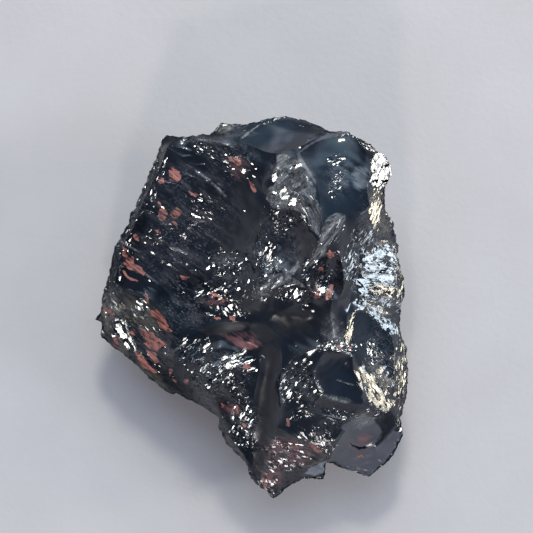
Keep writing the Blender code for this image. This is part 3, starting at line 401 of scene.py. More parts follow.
# Painted reflection: a blue tint in the big scoop, the oval hollow, the plate and the back facet stands in
# for the blue sky that they mirror.
SKY_REFLECTION_PATCHES = [
    (13.4, 20.5, 6, 9, 0, 1), (19.2, -4.6, 5, 6, 30, 1), (14, -11, 5, 5, 0, 0.3), (3, 28, 8, 3.4, 0, 0.8),
]
HOLLOW_OUTLINE = [  # of the dull oval hollow: (x, y)
    (16.2, -0.8), (17.3, -0.2), (18.7, -0.7), (20, -2), (21.4, -3.4), (22.3, -4.9), (22.5, -6.6),
    (22.6, -8.5), (21.2, -9.2), (19.7, -9.1), (18.1, -9), (17, -9), (16.3, -7.6), (16.2, -5.6), (16.1, -4),
    (15.8, -2.3),
]
# Painted shade: the hole of the hook and the crack in the slate lose their sheen so that they show black,
# as their shade does.
SHADE_SHAPES = {  # outlines: (x, y)
    "slate_crack": [
        (15.6, -21.2), (16.3, -22), (17.4, -22.5), (18.7, -22.3), (19.7, -21.4), (18.6, -21.9),
        (17.4, -22.1), (16.4, -21.7),
    ],
    "hook": [
        (19.5, -16.6), (21, -15.9), (22.4, -16.2), (23.8, -18.1), (22.9, -19), (21.9, -20.2), (20.5, -21.7),
        (19.8, -22), (20.1, -21.4), (20.8, -20.6), (21.1, -19.6), (20.6, -18.6), (19.6, -17.4),
    ],
}
RUST_SHAPES = {  # outlines: (x, y)
    "high": [
        (-13, 21.3), (-12.8, 22.1), (-12.3, 22.4), (-11.7, 21.9), (-11, 21.4), (-10.9, 20.8), (-11.4, 20.3),
        (-12.2, 20.2), (-12.8, 20.5),
    ],
    "high_strip": [(-12.8, 22.6), (-12.3, 22.6), (-11, 21.8), (-11.2, 21.4), (-12.2, 22.1)],
    "high_left": [(-14.6, 20.3), (-14.1, 20.8), (-13.6, 20.6), (-13.6, 20.2), (-14.2, 19.8)],
    "pair_left": [
        (-14.6, 15.4), (-14.2, 16), (-13.6, 16), (-13.1, 15.5), (-13.3, 14.6), (-13.8, 13.9), (-14.4, 14.4),
    ],
    "pair_right": [
        (-12.6, 15.2), (-12.3, 16), (-11.7, 16.2), (-11, 15.5), (-11.4, 14.7), (-12, 14.4), (-12.6, 14.7),
    ],
    "pair_foot": [(-12.6, 13.9), (-12, 14.1), (-11.4, 13.4), (-12, 13.3)],
    "pair_top": [(-14.7, 17.3), (-14.2, 17.1), (-13.9, 16.3), (-14.4, 16.5)],
    "small_a": [(-15.2, 12.8), (-14.7, 12.8), (-14.2, 12.2), (-14.9, 12.2)],
    "small_b": [(-18.6, 12), (-18.1, 12), (-17.6, 11), (-17.9, 10.7), (-18.4, 11.4)],
    "small_c": [(-9.9, 19), (-9.3, 18.7), (-8.2, 18.1), (-8.8, 17.9), (-9.8, 18.4)],
    "top_pink": [
        (-3.7, 24.2), (-2.7, 23.8), (-1.8, 24), (-1.3, 23), (-1.6, 22.6), (-2.6, 23), (-3.5, 23.4),
    ],
    "slit": [(-0.2, 20.3), (0.5, 19.8), (1, 18.6), (0.6, 18.2), (0, 19.2)],
    "edge_chip": [(-20.6, 10.2), (-20, 10.1), (-19.4, 9.4), (-20, 9.3)],
    "edge": [
        (-20.5, 9.1), (-19.8, 9.4), (-19.4, 8.5), (-18.6, 8.3), (-18.4, 7.4), (-17.4, 6.7), (-16.6, 5.8),
        (-17.3, 5.4), (-18.4, 6.1), (-19.5, 6.6), (-20.3, 7.2), (-20, 8),
    ],
    "edge_low": [
        (-20.5, 6.2), (-20, 6.2), (-19.4, 5.3), (-17.9, 4.6), (-17.9, 4.2), (-19, 4.6), (-20, 5.3),
    ],
    "stem": [(-17.1, 3), (-16.6, 2.9), (-16.2, 1.8), (-16, 0.8), (-16.6, 1)],
    "arrow": [
        (-16.2, -0.2), (-15, 0), (-14.4, -0.5), (-13.8, -1.1), (-13.3, -1.9), (-13, -3), (-12.5, -3.5),
        (-13.6, -3.4), (-14.6, -2.6), (-14.9, -1.6), (-15.7, -1.1),
    ],
    "corner": [
        (-17.9, -3), (-16.8, -3.2), (-15.8, -3.7), (-14.9, -4.5), (-13.8, -5), (-13.4, -5.8), (-14.4, -5.9),
        (-14.9, -6.6), (-16.2, -6.4), (-17.1, -5.4), (-16.5, -5.1), (-17.6, -4.2),
    ],
    "corner_low": [
        (-16.8, -6.6), (-15.8, -6.7), (-15, -7.2), (-14.7, -8.5), (-15.4, -8.8), (-15.8, -8), (-16.3, -7.4),
    ],
    "corner_rim": [
        (-18.6, -6.6), (-17.8, -6.7), (-17.3, -7.5), (-16.6, -8.3), (-15.8, -9.3), (-14.9, -9.9),
        (-15.2, -10.4), (-16.2, -9.9), (-17.4, -9.1), (-18.2, -8),
    ],
    "corner_far": [
        (-23.8, 0.2), (-22.9, 0.3), (-22.1, -0.3), (-21.6, -1), (-22.6, -0.8), (-23.5, -0.3),
    ],
    "corner_mid": [(-19.7, -3.4), (-18.9, -3.5), (-18.4, -4.3), (-19, -4.3)],
    "corner_side": [(-22.2, -4.3), (-21.4, -4.6), (-21.3, -5.8), (-21.9, -5.3)],
    "foot_a": [(-13.1, -9.4), (-12.6, -9.3), (-12.5, -10.1), (-13, -10.7)],
    "foot_b": [(-12.6, -11), (-12, -11.2), (-11.5, -11.7), (-12.3, -11.7)],
    "foot_c": [(-10.6, -11.2), (-10.1, -11), (-9.8, -11.5), (-10.2, -12), (-10.7, -11.8)],
    "dot": [(-11.4, 5.6), (-10.6, 5.4), (-9.8, 5.1), (-10.2, 4.6), (-11, 4.8)],
    "middle_a": [(-6.4, 2.9), (-5.8, 2.7), (-4.6, 2.2), (-5.1, 1.9), (-6.1, 2.2)],
    "middle_b": [(-4.6, 1.8), (-3.8, 1.4), (-4.2, 1.1), (-4.6, 1.3)],
    "middle_c": [(-3.4, -1), (-2.7, -1), (-2.2, -1.4), (-2.7, -1.9), (-3.2, -1.6)],
    "middle_d": [(-5.9, -1.3), (-4.8, -1.1), (-4.5, -1.6), (-5.4, -1.8)],
    "band_a": [(-0.8, -5.1), (0.5, -5.3), (1.3, -5.8), (0.6, -6.1), (-0.6, -6.2)],
    "lump_a": [(-1.1, -8.5), (0.2, -8.8), (-0.2, -9.4), (-1.3, -9.3)],
    "lobe_a": [(-4.8, -15), (-4, -15.2), (-4.2, -15.8), (-4.8, -15.7)],
    "lobe_b": [(-2.4, -15.2), (-1.9, -15.5), (-1.9, -16.8), (-2.4, -16.5)],
    "lobe_c": [(-1.3, -17.9), (-0.6, -18.4), (-1.1, -19)],
    "window_top": [(11.8, 8.8), (12.3, 9.4), (13.3, 9.1), (13.1, 8.5), (12.5, 8)],
    "window_dot": [(10.6, 6.9), (11.4, 6.7), (11.5, 6.1), (10.9, 6.2)],
    "window_crescent": [
        (12.5, 4.3), (13, 4), (13, 2.9), (12.5, 1.8), (11.8, 1.4), (11.8, 2.4), (12.3, 3.2),
    ],
    "window_foot": [(10.1, 2.9), (10.9, 2.6), (10.9, 1.8), (10.1, 1.9)],
    "plate_dot": [(13.9, -5.6), (14.6, -5.9), (14.2, -6.4), (13.8, -6.2)],
    "plate_dot_b": [(15.5, -5.8), (16.2, -5.9), (16, -6.4), (15.5, -6.2)],
    "low_dot": [(5.7, -17.3), (6.1, -17.3), (6.2, -18.5), (5.8, -18.5)],
    "tip_a": [(9.1, -21), (10.1, -21.3), (11, -22.1), (11.7, -23), (10.6, -22.9), (9.6, -21.9)],
    "tip_b": [(1.8, -27), (2.2, -27.2), (2.7, -28.5), (2.2, -28.8), (1.8, -28)],
    "slate_a": [(17.1, -23.4), (18.1, -23.4), (18.1, -23.8), (17.3, -24)],
}
# Shell ripples: (x and y of the blow, x and y of the face's middle, reach, wavelength, height)
RIPPLES = {
    "back_facet": (7.8, 25.4, 5.4, 27.7, 4.8, 2.1, 0.022),
    "blue_scoop": (9.8, 15, 14.2, 21, 5.4, 1.5, 0.022),
    "plate": (10.7, -6.6, 13.6, -10.7, 4.2, 1.2, 0.016),
    "lens": (9.8, -15.2, 13.6, -16.2, 4.2, 0.9, 0.014),
    "slate": (16.2, -16.5, 17.4, -22.9, 5.4, 1.5, 0.028),
    "channel": (-3, -6.6, 0.6, -4.2, 5.4, 1.2, 0.014),
    "channel_low": (7.8, -14.6, 2.6, -16.2, 6.4, 1.8, 0.014),
    "hall": (12.6, 1.4, 8.2, -3.4, 4.5, 1.4, 0.012),
    "oval": (15.8, -1.8, 19.7, -5.8, 4.2, 1.1, 0.02),
    "face": (-1, 25.4, -7.4, 13.4, 12.8, 2.6, 0.03),
    "centre": (1.8, 13.9, 5.6, 10.4, 2.9, 1.2, 0.022),
}
# Flow steps: (x, y, reach along, reach across, turn, line direction, spacing, height)
FLOW_PATCHES = [
    (-10.5, 13.5, 13, 9.5, 60, -28, 1.5, 0.11), (-6.5, 23.5, 9, 4.5, -12, -18, 1.1, 0.1),
    (-17, -3.2, 8, 5.5, -42, -47, 1.0, 0.14), (-19.5, 7, 7, 3.2, -60, -42, 1.1, 0.1),
    (-4.5, -11.5, 6, 4.5, 0, 42, 1.3, 0.1), (6, -23, 6, 4, 0, -38, 1.1, 0.1),
]
# Faces with a broken, scuffed skin: (x, y, reach along, reach across, turn, amount)
WORKED_PATCHES = [
    (-10.5, 15, 13, 9, 60, 0.8), (-8, 6, 10, 5, 0, 1), (-17, -4, 9, 6, -42, 1), (-5, -11, 7, 6, 0, 1),
    (-1.5, -18, 4, 6, 0, 1), (6, -23, 7, 4.5, 0, 1), (6, 20, 5, 6, 0, 0.9), (4, 9, 6, 8, 0, 0.8),
    (8, -13, 4, 6, 0, 0.8), (14, -5, 5, 3, 0, 0.6), (-4, 25, 7, 3, -12, 0.7), (14, 21, 3.5, 6, 0, 0.5),
    (12, 5, 4, 6, -35, 0.6), (20, 10, 5, 14, 0, 0.8), (21, -9, 4, 12, 0, 0.8), (15, -18, 8, 2, 10, 0.5),
    (-10, 0, 6, 4, 0, 0.8),
]
# Raised streaks: (x and y of one end, x and y of the other, half width, height)
STREAKS = [
    (-9, 27, -3, 25.9, 0.3, 0.12), (-8.8, 21.9, -6.2, 20.3, 0.26, 0.12),
    (-6.4, 20.4, -3.7, 17.8, 0.26, 0.12), (-9.4, 14.7, -7.2, 13.9, 0.22, 0.1),
    (-7.4, 12.3, -4.6, 10.6, 0.22, 0.1), (-13, 10.1, -9.8, 8.8, 0.24, 0.12),
    (-17, 5.9, -14.6, 4, 0.24, 0.12), (-21, 11, -17.4, 9, 0.24, 0.12), (13.4, -11, 16.6, -12, 0.18, 0.06),
    (11, -16.5, 15, -17.4, 0.18, 0.06), (-12.6, -6.9, -10.7, -5.4, 0.22, 0.1),
    (-1.8, 26.7, 1.8, 29.6, 0.18, 0.06), (16.8, 14.7, 20.6, 17.4, 0.18, 0.06),
    (7.4, 23.8, 9.8, 20.6, 0.5, 0.06), (12.6, -21.3, 15.5, -19.4, 0.16, 0.06),
    (16, -19.2, 18.6, -17.6, 0.14, 0.05), (17.4, -18.6, 18.7, -17.9, 0.14, 0.05),
]

# ---- How the shape is worked out ----
FIELD_X = (-27, 28)  # the field of fill points, wider than the stone
FIELD_Y = (-33, 34)
ROW_GAP = 0.866  # between rows of fill points, against the step along a row
FILL_GAP = 0.6  # least gap between a fill point and a held one, against the step
SAME_PLACE = 1e-4  # points closer than this are one point to the triangulation
SPRING_LIMITS = (0.01, 50)  # least and most stiffness of an edge of the skin
HOLLOW_EDGE = 1.5  # where the pull of a hollow ends, against its reach
SOLVER_ROUNDS = 2000
AT_REST = 1e-10  # the skin counts as settled below this
LUMP_FADE = (1.6, 1.2)  # how fast a lumpy patch fades, and where it ends against its reach
LUMP_FACING = 4  # how soon the lumps fade on steep faces
# Heights above the foot where each kind of detail starts, and over which it grows
WEAR_ABOVE = (0.2, 2.0)
SIDE_CHIPS_ABOVE = (0.4, 1.5)
DETAIL_ABOVE = (0, 1.0)

# ---- How the surface detail is made ----
# Noise is given as layers: (height, wavelength, seed, and a stretch along x, y and z where it has one)
CELL_MARGIN = 0.1  # share of a chip's cell, at each side, that the chip's middle keeps out of
SECOND_LOT = 77  # added to a salt for another lot of random numbers
SALT_STEP = 5  # between the salts of one patch of hackle and the next
CHIP_DEPTH = 0.5  # how deep the chips are, against their heights in the table
CHIP_LEVEL = 0.7  # how far they stand above each other, against how far they tilt
RAISED_SHINE = 0.35  # share of the shining chips that the shape itself has
AIM_SPREAD = 0.22  # rise over run by which the shining chips stray
STEEPEST_LEAN = 1.3  # rise over run that a shining chip may add to the face it lies on
LEAST_UP = 0.3  # a face is counted as no steeper than this when a chip is laid on it
FACES_UP = 0.05  # least upward part of the normal where the upper side's detail lies
PATCH_REACH = -0.5  # how far outside a patch its ragged edge may go
PATCH_EDGES = [(0.4, 2.2, 5.0), (0.25, 0.9, 6.0)]
PATCH_FADE = 0.6  # over this share of a patch the chips grow to their full height
LEAD_AT_LEAST = 0.25  # how much a patch counts, besides its shine, where patches overlap
LOOSE_TURN = 35  # direction of the shards outside the patches
LOOSE_SIZE = (1.0, 0.5, 0.5)  # and their size
LOOSE_SHINE = 0.085  # share of them that shines
LOOSE_FACING = (0.1, 0.4)  # upward part of the normal over which they start to shine
SHINE = 0.9  # how many shards of the patches shine, against the shares in the table
SHARDS_PER_CHIP = 3.1
SHARD_STRETCH = 2.3  # how much longer a shard is, against its chip
SHARD_OFFSET = 7  # shards between the pattern of one patch and the next
SIDE_CHIP = 0.22  # how tall the chips of the sides and the underside are
SIDE_PATCHES = [(1.0, 9.0, 31.0), (0.35, 4.0, 11.0)]
SIDE_PATCH_EDGE = (0.0, 0.3)  # noise where a broad patch of them starts, and where it is full
SIDE_FACING = (-0.25, 0.1)  # downward part of the normal over which they start
# Chips of the sides: (height against the tallest, direction, size, salt)
SIDE_CHIPS = [(1.0, 35, (1.9, 1.1, 1.1), 501), (0.4, -20, (0.95, 0.6, 0.6), 733)]
STEP_WANDER = [(1.0, 1.0, 3.0, (5, 2, 3)), (0.5, 1.0, 8.0, (1.6, 1, 1))]
STEP_STRAY = 0.9  # how far the flow steps wander, in steps
STEP_RISE = 0.82  # share of a flow step that rises
STEP_DROP = 0.18  # share of it that drops
STEP_BREAKS = [(1.0, 1.0, 19.0, (3.5, 1.2, 2))]
STEP_BREAK_EDGE = (-0.25, 0.25)  # noise where the steps start, and where they are full
STEP_FADE = 0.3  # share of a patch over which its steps grow
RIPPLE_FADE = 0.5  # share of a face over which its ripples grow
STREAK_CREST = 0.8  # share of a streak's half width over which it rises
STREAK_ENDS = 0.2  # share of its length over which each end fades
RIM_SPACING = 0.5  # between the spots of the rim that nearness is measured from
RIM_REACH = (0.2, 1.4)  # distance from the rim where the nibbles start to fade, and end
NIBBLE = 0.22  # how deep the rim is nibbled
NIBBLE_WAVES = [(1.0, 0.9, 41.0), (0.6, 0.45, 43.0)]
NIBBLE_BITE = 0.35  # how much more the nibbles cut than add
RIM_SHARDS = 0.85  # how splintered the rim is
FROST_GROWTH = 1.7  # how fast frost thickens inwards from its outlines, for each mm
OUTLINE_EDGE = (-0.05, 0.1)  # distance inside an outline where a dark mark starts, and is full
STREAK_SHEEN = 0.8  # how much frost grey is laid along the raised streaks: a painted highlight for the bright line their step edges mirror
SHADE_HIDES = 0.3  # a painted shade mark this strong hides the grey sheen and the red under it
HOLLOW_DULL = 0.72  # how dull the oval hollow is
STEEP_DULL = 0.75  # how dull the steep sides are
STEEP_FROM = 0.55  # upward part of the normal below which a side counts as steep
DULL_FADE = 0.4  # over this much of a side or a patch the dullness grows
WORKED_FADE = 0.5  # the same for the worked faces
BLOCKY_MOST = 0.6  # the most that blocks show in the frosted glass
TOP_FACING = -0.2  # the marks of the upper side lie where the normal's upward part is above this
SIDE_RUST = 1.1  # how sparse the rust is on the sides
SIDE_RUST_MOST = 0.3  # how strong it gets
SIDE_RUST_FACING = 0.25  # upward part of the normal below which it lies
SIDE_VEINS = [(1.0, 1.3, 57.0, (3.2, 3.2, 1)), (0.8, 7.0, 59.0)]
SHARP_ANGLE = math.radians(24)  # edges sharper than this aren't shaded smooth

# ---- Colours and finish ----
BLACK = (0.005, 0.007, 0.011, 1)
BLUE_BLACK = (0.0075, 0.012, 0.019, 1)
# painted reflection: the blue of the sky that the scoops and facets mirror
SKY_REFLECTION_BLUE = (0.009, 0.0175, 0.028, 1)
BROWN_BLACK = (0.017, 0.0165, 0.018, 1)
OLIVE = (0.115, 0.103, 0.07, 1)
RED = (0.26, 0.12, 0.115, 1)
# frost grey; along the raised streaks it is also a painted highlight
FROST_AND_SHEEN = (0.235, 0.232, 0.23, 1)
RUST_DARK = (0.15, 0.055, 0.05, 1)
RUST_LIGHT = (0.47, 0.18, 0.135, 1)
# painted highlight and reflection: the pale disc in the scoop and the notch facet
PALE_SHEEN_GREY = (0.195, 0.216, 0.245, 1)
# painted reflection: the paler sheen of the slate, the wedge and the crest
GREY_SHEEN_COLOUR = (0.088, 0.091, 0.105, 1)
SMUDGE = (0.2, 0.187, 0.2, 1)
GLASS_ROUGHNESS = (0.08, 0.16)  # least and most on the clean glass
GLASS_INDEX = 1.55
FULL_SHEEN = 0.5  # specular level of the clean glass
DULL_SHEEN = 0.1  # and of the dullest
# Roughness that each mark adds; the painted grey and pale sheens lie on the glass like a film
ROUGHER = {"frost_and_sheen": 0.3, "matte": 0.3, "painted_sheens": 0.2, "rust": 0.28}
MATTE_COLOUR = 0.8  # how much of the matte places' own colour shows
FLOW_TURN = math.radians(-36)  # the flow lines run this way
FLOW_STRETCH = (3.2, 1, 1)
STRAND_STRETCH = (0.45, 1, 1)  # stretches the rust's strands further along the flow
# Noises in the glass: (repeats per metre, detail, and roughness where it isn't the usual one)
CLOUDS = (180, 4)
FINE_GRAIN = (1400, 4)
TEARS = (1300, 5)
FINE_TEARS = (2400, 4)
STRANDS = (3000, 3)
SCUFFS = (5200, 3)
SMUDGES = (620, 5, 0.68)
# Noises in the shards' own coordinates: (repeats per shard, detail)
STRIAE = (2.4, 3)
CLUMPS = (0.3, 3)
# How each mark's field turns into a patch: (field where it starts, where it is full, raggedness)
MARK_EDGES = {
    "rust": (-0.02, 0.06, 1.0), "frost_and_sheen": (-0.1, 0.5, 0.9), "olive": (-0.1, 0.9, 1.2),
    "red": (-0.1, 0.9, 1.2), "matte": (-0.1, 0.4, 0.5), "sky_reflection": (0, 0.5, 0.2),
    "grey_sheen": (-0.04, 0.14, 0.5), "pale_sheen": (-0.04, 0.3, 0.5),
}
# How noises thin things out: (noise from, noise to, and the share at each where it isn't 0 and 1)
CLOUDY_BLUE = (0.35, 0.7)
CLOUDY_ROUGHNESS = (0.3, 0.7)
CLOUDY_SCUFFS = (0.4, 0.55)
CLOUDY_GREY_SHEEN = (0.3, 0.65, 0.7, 1)
RUST_GAPS = (0.34, 0.42)
RUST_TONES = (0.4, 0.58)
TORN_OLIVE = (0.3, 0.65)
TORN_RED = (0.3, 0.55)
TORN_PALE_SHEEN = (0.3, 0.6, 0.5, 1)
FROST_BY_BLOCK = (0, 1, 0.5, 1.2)
FROST_BY_SHARD = (0.1, 0.9, 0.3, 1.15)
FROST_STRIAE = (0.36, 0.62, 0.3, 1.1)
SCUFF_SHARE = (0.55, 0.68, 0, 0.55)
SMUDGE_SHARE = (0.44, 0.7, 0, 0.27)
CLUMPED = (0.4, 0.62, 0.1, 2.0)  # how the shining shards crowd together
BLOCK_SCALE = 0.32  # size of the shards, against the size of the blocks in the frosted glass
JAG_SCALE = 1.7  # how fine the ragged outlines of the shards are
SHARD_JAG = 1.1  # and how ragged
SHARD_TILT = 0.45  # how far the shards of the patches tilt at random
WORKED_TILT = 0.16  # how far those on the worked faces tilt
FROST_TILT = 1.1  # how far the blocks tilt in the frosted glass
WORKED_BLOCKS = 0.22  # how much of the blocks shows on the worked faces
AIMED_SPREAD = (0.35, 1.0, 0.13, 0.052)  # shine from and to, and how far its shards stray at each
CAN_SHINE = (0.45, 0.6)  # how nearly a face turns to the shining way before its shards shine
FLECKS_PER_METRE = 1300.0  # tiny facets, thinly scattered over all faces
FLECK_REACH = 0.15  # size of a fleck, against the gaps between them
FLECK_SHARE = 0.04  # how many of them shine
WORKED_FLECKS = 0.08  # how many more of them shine on the worked faces
FLECK_SPREAD = 0.14  # how far they stray from the shining way
GRAIN_STRENGTH = 0.25
GRAIN_DEPTH = 0.00012  # m
GRAIN_OF_GLASS = 0.25  # how coarse the grain of the glass is
GRAIN_OF_RUST = 2.5  # and what full rust adds

# ---- Stage ----
FLOOR_SIDE = 3.0  # m
PAPER_DARK = (0.603, 0.56, 0.54, 1)
PAPER_LIGHT = (0.64, 0.597, 0.577, 1)
PAPER_ROUGHNESS = 0.85
PAPER_INDEX = 1.3
PAPER_MOTTLE = (45, 5)  # noises of the paper: (repeats per metre, detail)
PAPER_TONES = (0.3, 0.7)
PAPER_GRAIN = (900, 4)
PAPER_GRAIN_STRENGTH = 0.12
PAPER_GRAIN_DEPTH = 0.0004  # m
# Brightness of the sky by height: (0 at the horizon to 1 overhead, colour)
SKY = [
    (0.0, (0.86, 0.865, 0.96)), (0.2, (0.76, 0.775, 0.89)), (0.36, (0.48, 0.5, 0.61)),
    (0.5, (0.31, 0.335, 0.43)), (0.66, (0.2, 0.23, 0.31)), (0.84, (0.15, 0.18, 0.26)),
    (1.0, (0.12, 0.155, 0.24)),
]
SKY_STRENGTH = 1.4
BRIGHT_SIDE = (0.6, 0.65, 0.0)  # towards the bright side of the sky
BRIGHT_SIDE_REACH = (-0.9, 0.9)  # closeness to it where the sky brightens from and to
DARK_SHARE = 0.5  # brightness of its dark side, against the bright one
GLOW = (92, 40)  # azimuth from +X and elevation of a wide, soft glow in the sky
GLOW_REACH = 42  # how wide it is, in degrees from its middle
GLOW_STRENGTH = 2.0
GLOW_COLOUR = (0.6, 0.82, 1.0, 1)
AIM_HEIGHT = 0.01  # m above the paper, about the middle of the stone
LAMP_DISTANCE = 0.7  # m from there
# Where a lamp is, as azimuth from +X and elevation, then its two sides in metres, watts and colour
Lamp = namedtuple("Lamp", "place sides watts colour")
LAMPS = {
    "key": Lamp((88, 38), (0.11, 0.1), 2.2, (1.0, 0.96, 0.89)),
    "gold_lamp": Lamp((6, 15), (0.1, 0.08), 0.9, (1.0, 0.91, 0.7)),
    "cool_window": Lamp((0, 26), (0.12, 0.09), 0.9, (0.74, 0.88, 1.0)),
    "front_lamp": Lamp((-96, 40), (0.08, 0.07), 0.75, (1.0, 0.95, 0.94)),
}
CAMERA_HEIGHT = 0.5  # m above the middle of the stone
SENSOR_WIDTH = 36.0  # any width would do: the lens follows from it
NEAREST_SEEN = 0.01  # m from the camera
VIEW_WIDTH = 0.0853  # m across the picture at the stone
VIEW_CENTRE = (0.0024, 0.0068)  # m, x and y of the middle of the picture


# ---- The two skins ----
def seen_place(corner):
    """Where a corner lies seen from above, rounded, so that the same corner is found again."""
    return (round(float(corner[0]), 3), round(float(corner[1]), 3))


def split_line(corners, step):
    """The corners, with points added between them about one step apart."""
    found = [corners[0]]
    for start, end in zip(corners, corners[1:]):
        length = np.hypot(end[0] - start[0], end[1] - start[1])
        count = max(1, int(round(length / step)))
        for i in range(1, count + 1):
            share = i / count
            found.append(tuple(a * (1 - share) + b * share for a, b in zip(start, end)))
    return found


def curved_line(corners, step):
    """The line bent smoothly through its corners, with points added about one step apart."""
    spots = np.array(corners, float)
    run = np.diff(spots, axis=0)
    length = np.hypot(run[:, 0], run[:, 1])
    slope = np.vstack([run[:1] / length[0], run[1:] + run[:-1], run[-1:] / length[-1]])
    slope[1:-1] /= np.hypot(slope[1:-1, 0], slope[1:-1, 1])[:, None]
    found = [corners[0]]
    for i, reach in enumerate(length):
        count = max(1, int(round(reach / step)))
        for t in np.arange(1, count) / count:
            spot = (
                (1 + 2 * t) * (1 - t) ** 2 * spots[i]
                + t * (1 - t) ** 2 * reach * slope[i]
                + t * t * (3 - 2 * t) * spots[i + 1]
                - t * t * (1 - t) * reach * slope[i + 1]
            )
            found.append(tuple(spot.tolist()))
        found.append(corners[i + 1])
    return found


def inside_loop(x, y, loop):
    """True for each point that lies inside a closed loop of corners."""
    inside = np.zeros(len(x), bool)
    for (x0, y0, *_), (x1, y1, *_) in zip(loop, loop[1:] + loop[:1]):
        if y0 == y1:
            continue
        crosses = (y0 > y) != (y1 > y)
        inside ^= crosses & (x < (x1 - x0) * (y - y0) / (y1 - y0) + x0)
    return inside


def fill_points(rim, held, step, empty_loop):
    """Even rows of points inside the rim and outside the empty loop, clear of every held point."""
    xs = np.arange(*FIELD_X, step)
    ys = np.arange(*FIELD_Y, step * ROW_GAP)
    x, y = np.meshgrid(xs, ys)
    x[1::2] += step / 2
    x, y = x.ravel(), y.ravel()
    keep = inside_loop(x, y, rim)
    if empty_loop:
        keep &= ~inside_loop(x, y, empty_loop)
    x, y = x[keep], y[keep]
    held = np.array(held)
    gaps = np.hypot(x[:, None] - held[:, 0], y[:, None] - held[:, 1]).min(axis=1)
    keep = gaps > step * FILL_GAP
    return list(zip(x[keep], y[keep]))


def lay_sheet(ridges, step, empty_loop=None):
    """Points (z unknown where nan), triangles and held edges of one skin, an edge along every ridge."""
    index, points, edges = {}, [], []

    def hold(line):
        before = None
        for corner in line:
            spot = index.setdefault(seen_place(corner), len(points))
            if spot == len(points):
                points.append(corner)
            if before is not None and before != spot:
                edges.append((before, spot))
            before = spot

    rim_line = split_line(RIM + RIM[:1], TOP_STEP)
    hold(rim_line)
    for line in ridges.values():
        hold(curved_line(line, step))
    fill = fill_points(RIM, points, step, empty_loop)
    flat = [Vector(p[:2]) for p in points] + [Vector(p) for p in fill]
    laid = delaunay_2d_cdt(flat, edges, [], 0, SAME_PLACE, True)
    xy = np.array([tuple(v) for v in laid[0]])
    faces = np.array([f for f in laid[2]])
    z = np.full(len(xy), np.nan)
    for i, sources in enumerate(laid[3]):
        held = [s for s in sources if s < len(points)]
        if held:
            z[i] = points[held[0]][2]
        elif not sources:  # a new point, where two held lines cross
            nearest = min(points, key=lambda p: np.hypot(p[0] - xy[i, 0], p[1] - xy[i, 1]))
            z[i] = nearest[2]
    middle = xy[faces].mean(axis=1)
    faces = faces[inside_loop(middle[:, 0], middle[:, 1], rim_line[:-1])]
    a, b, c = xy[faces[:, 0]], xy[faces[:, 1]], xy[faces[:, 2]]
    turn = (b - a)[:, 0] * (c - a)[:, 1] - (b - a)[:, 1] * (c - a)[:, 0]
    faces[turn < 0] = faces[turn < 0][:, ::-1]
    held_edges = {tuple(sorted(e)) for e, sources in zip(laid[1], laid[4]) if sources}
    return np.column_stack([xy, z]), faces, held_edges


def split_faces(points, faces, held_edges, count):
    """Every triangle split into count x count. The new points on held edges keep a known height."""
    spots = [(i, j) for i in range(count + 1) for j in range(count + 1 - i)]
    place = {spot: k for k, spot in enumerate(spots)}
    share = np.array([[count - i - j, i, j] for i, j in spots]) / count
    known = np.nan_to_num(points)
    fine = np.einsum("kc,fcx->fkx", share, known[faces])
    held = np.zeros((len(faces), 3), bool)
    for side, (u, v) in enumerate([(0, 1), (1, 2), (2, 0)]):
        for f, (a, b) in enumerate(zip(faces[:, u].tolist(), faces[:, v].tolist())):
            held[f, side] = (min(a, b), max(a, b)) in held_edges
    corner_known = ~np.isnan(points[faces, 2])
    keep = np.zeros(fine.shape[:2], bool)
    for k, (i, j) in enumerate(spots):
        sides = [j == 0, i + j == count, i == 0]
        keep[:, k] = (held & sides).any(axis=1)
        if sum(sides) == 2:
            corner = [(0, 0), (count, 0), (0, count)].index((i, j))
            keep[:, k] = corner_known[:, corner]
    fine[..., 2][~keep] = np.nan
    flat = fine.reshape(-1, 3)
    _, first, index = np.unique(
        np.round(flat[:, :2], 4), axis=0, return_index=True, return_inverse=True
    )
    index = index.ravel()
    z = np.full(len(first), np.nan)
    sure = ~np.isnan(flat[:, 2])
    z[index[sure]] = flat[sure, 2]
    small = []
    for i in range(count):
        for j in range(count - i):
            small.append((place[i, j], place[i + 1, j], place[i, j + 1]))
            if i + j < count - 1:
                small.append((place[i + 1, j], place[i + 1, j + 1], place[i, j + 1]))
    offsets = np.arange(len(faces))[:, None, None] * len(spots)
    split = (offsets + np.array(small)[None]).reshape(-1, 3)
    return np.column_stack([flat[first, :2], z]), index[split]


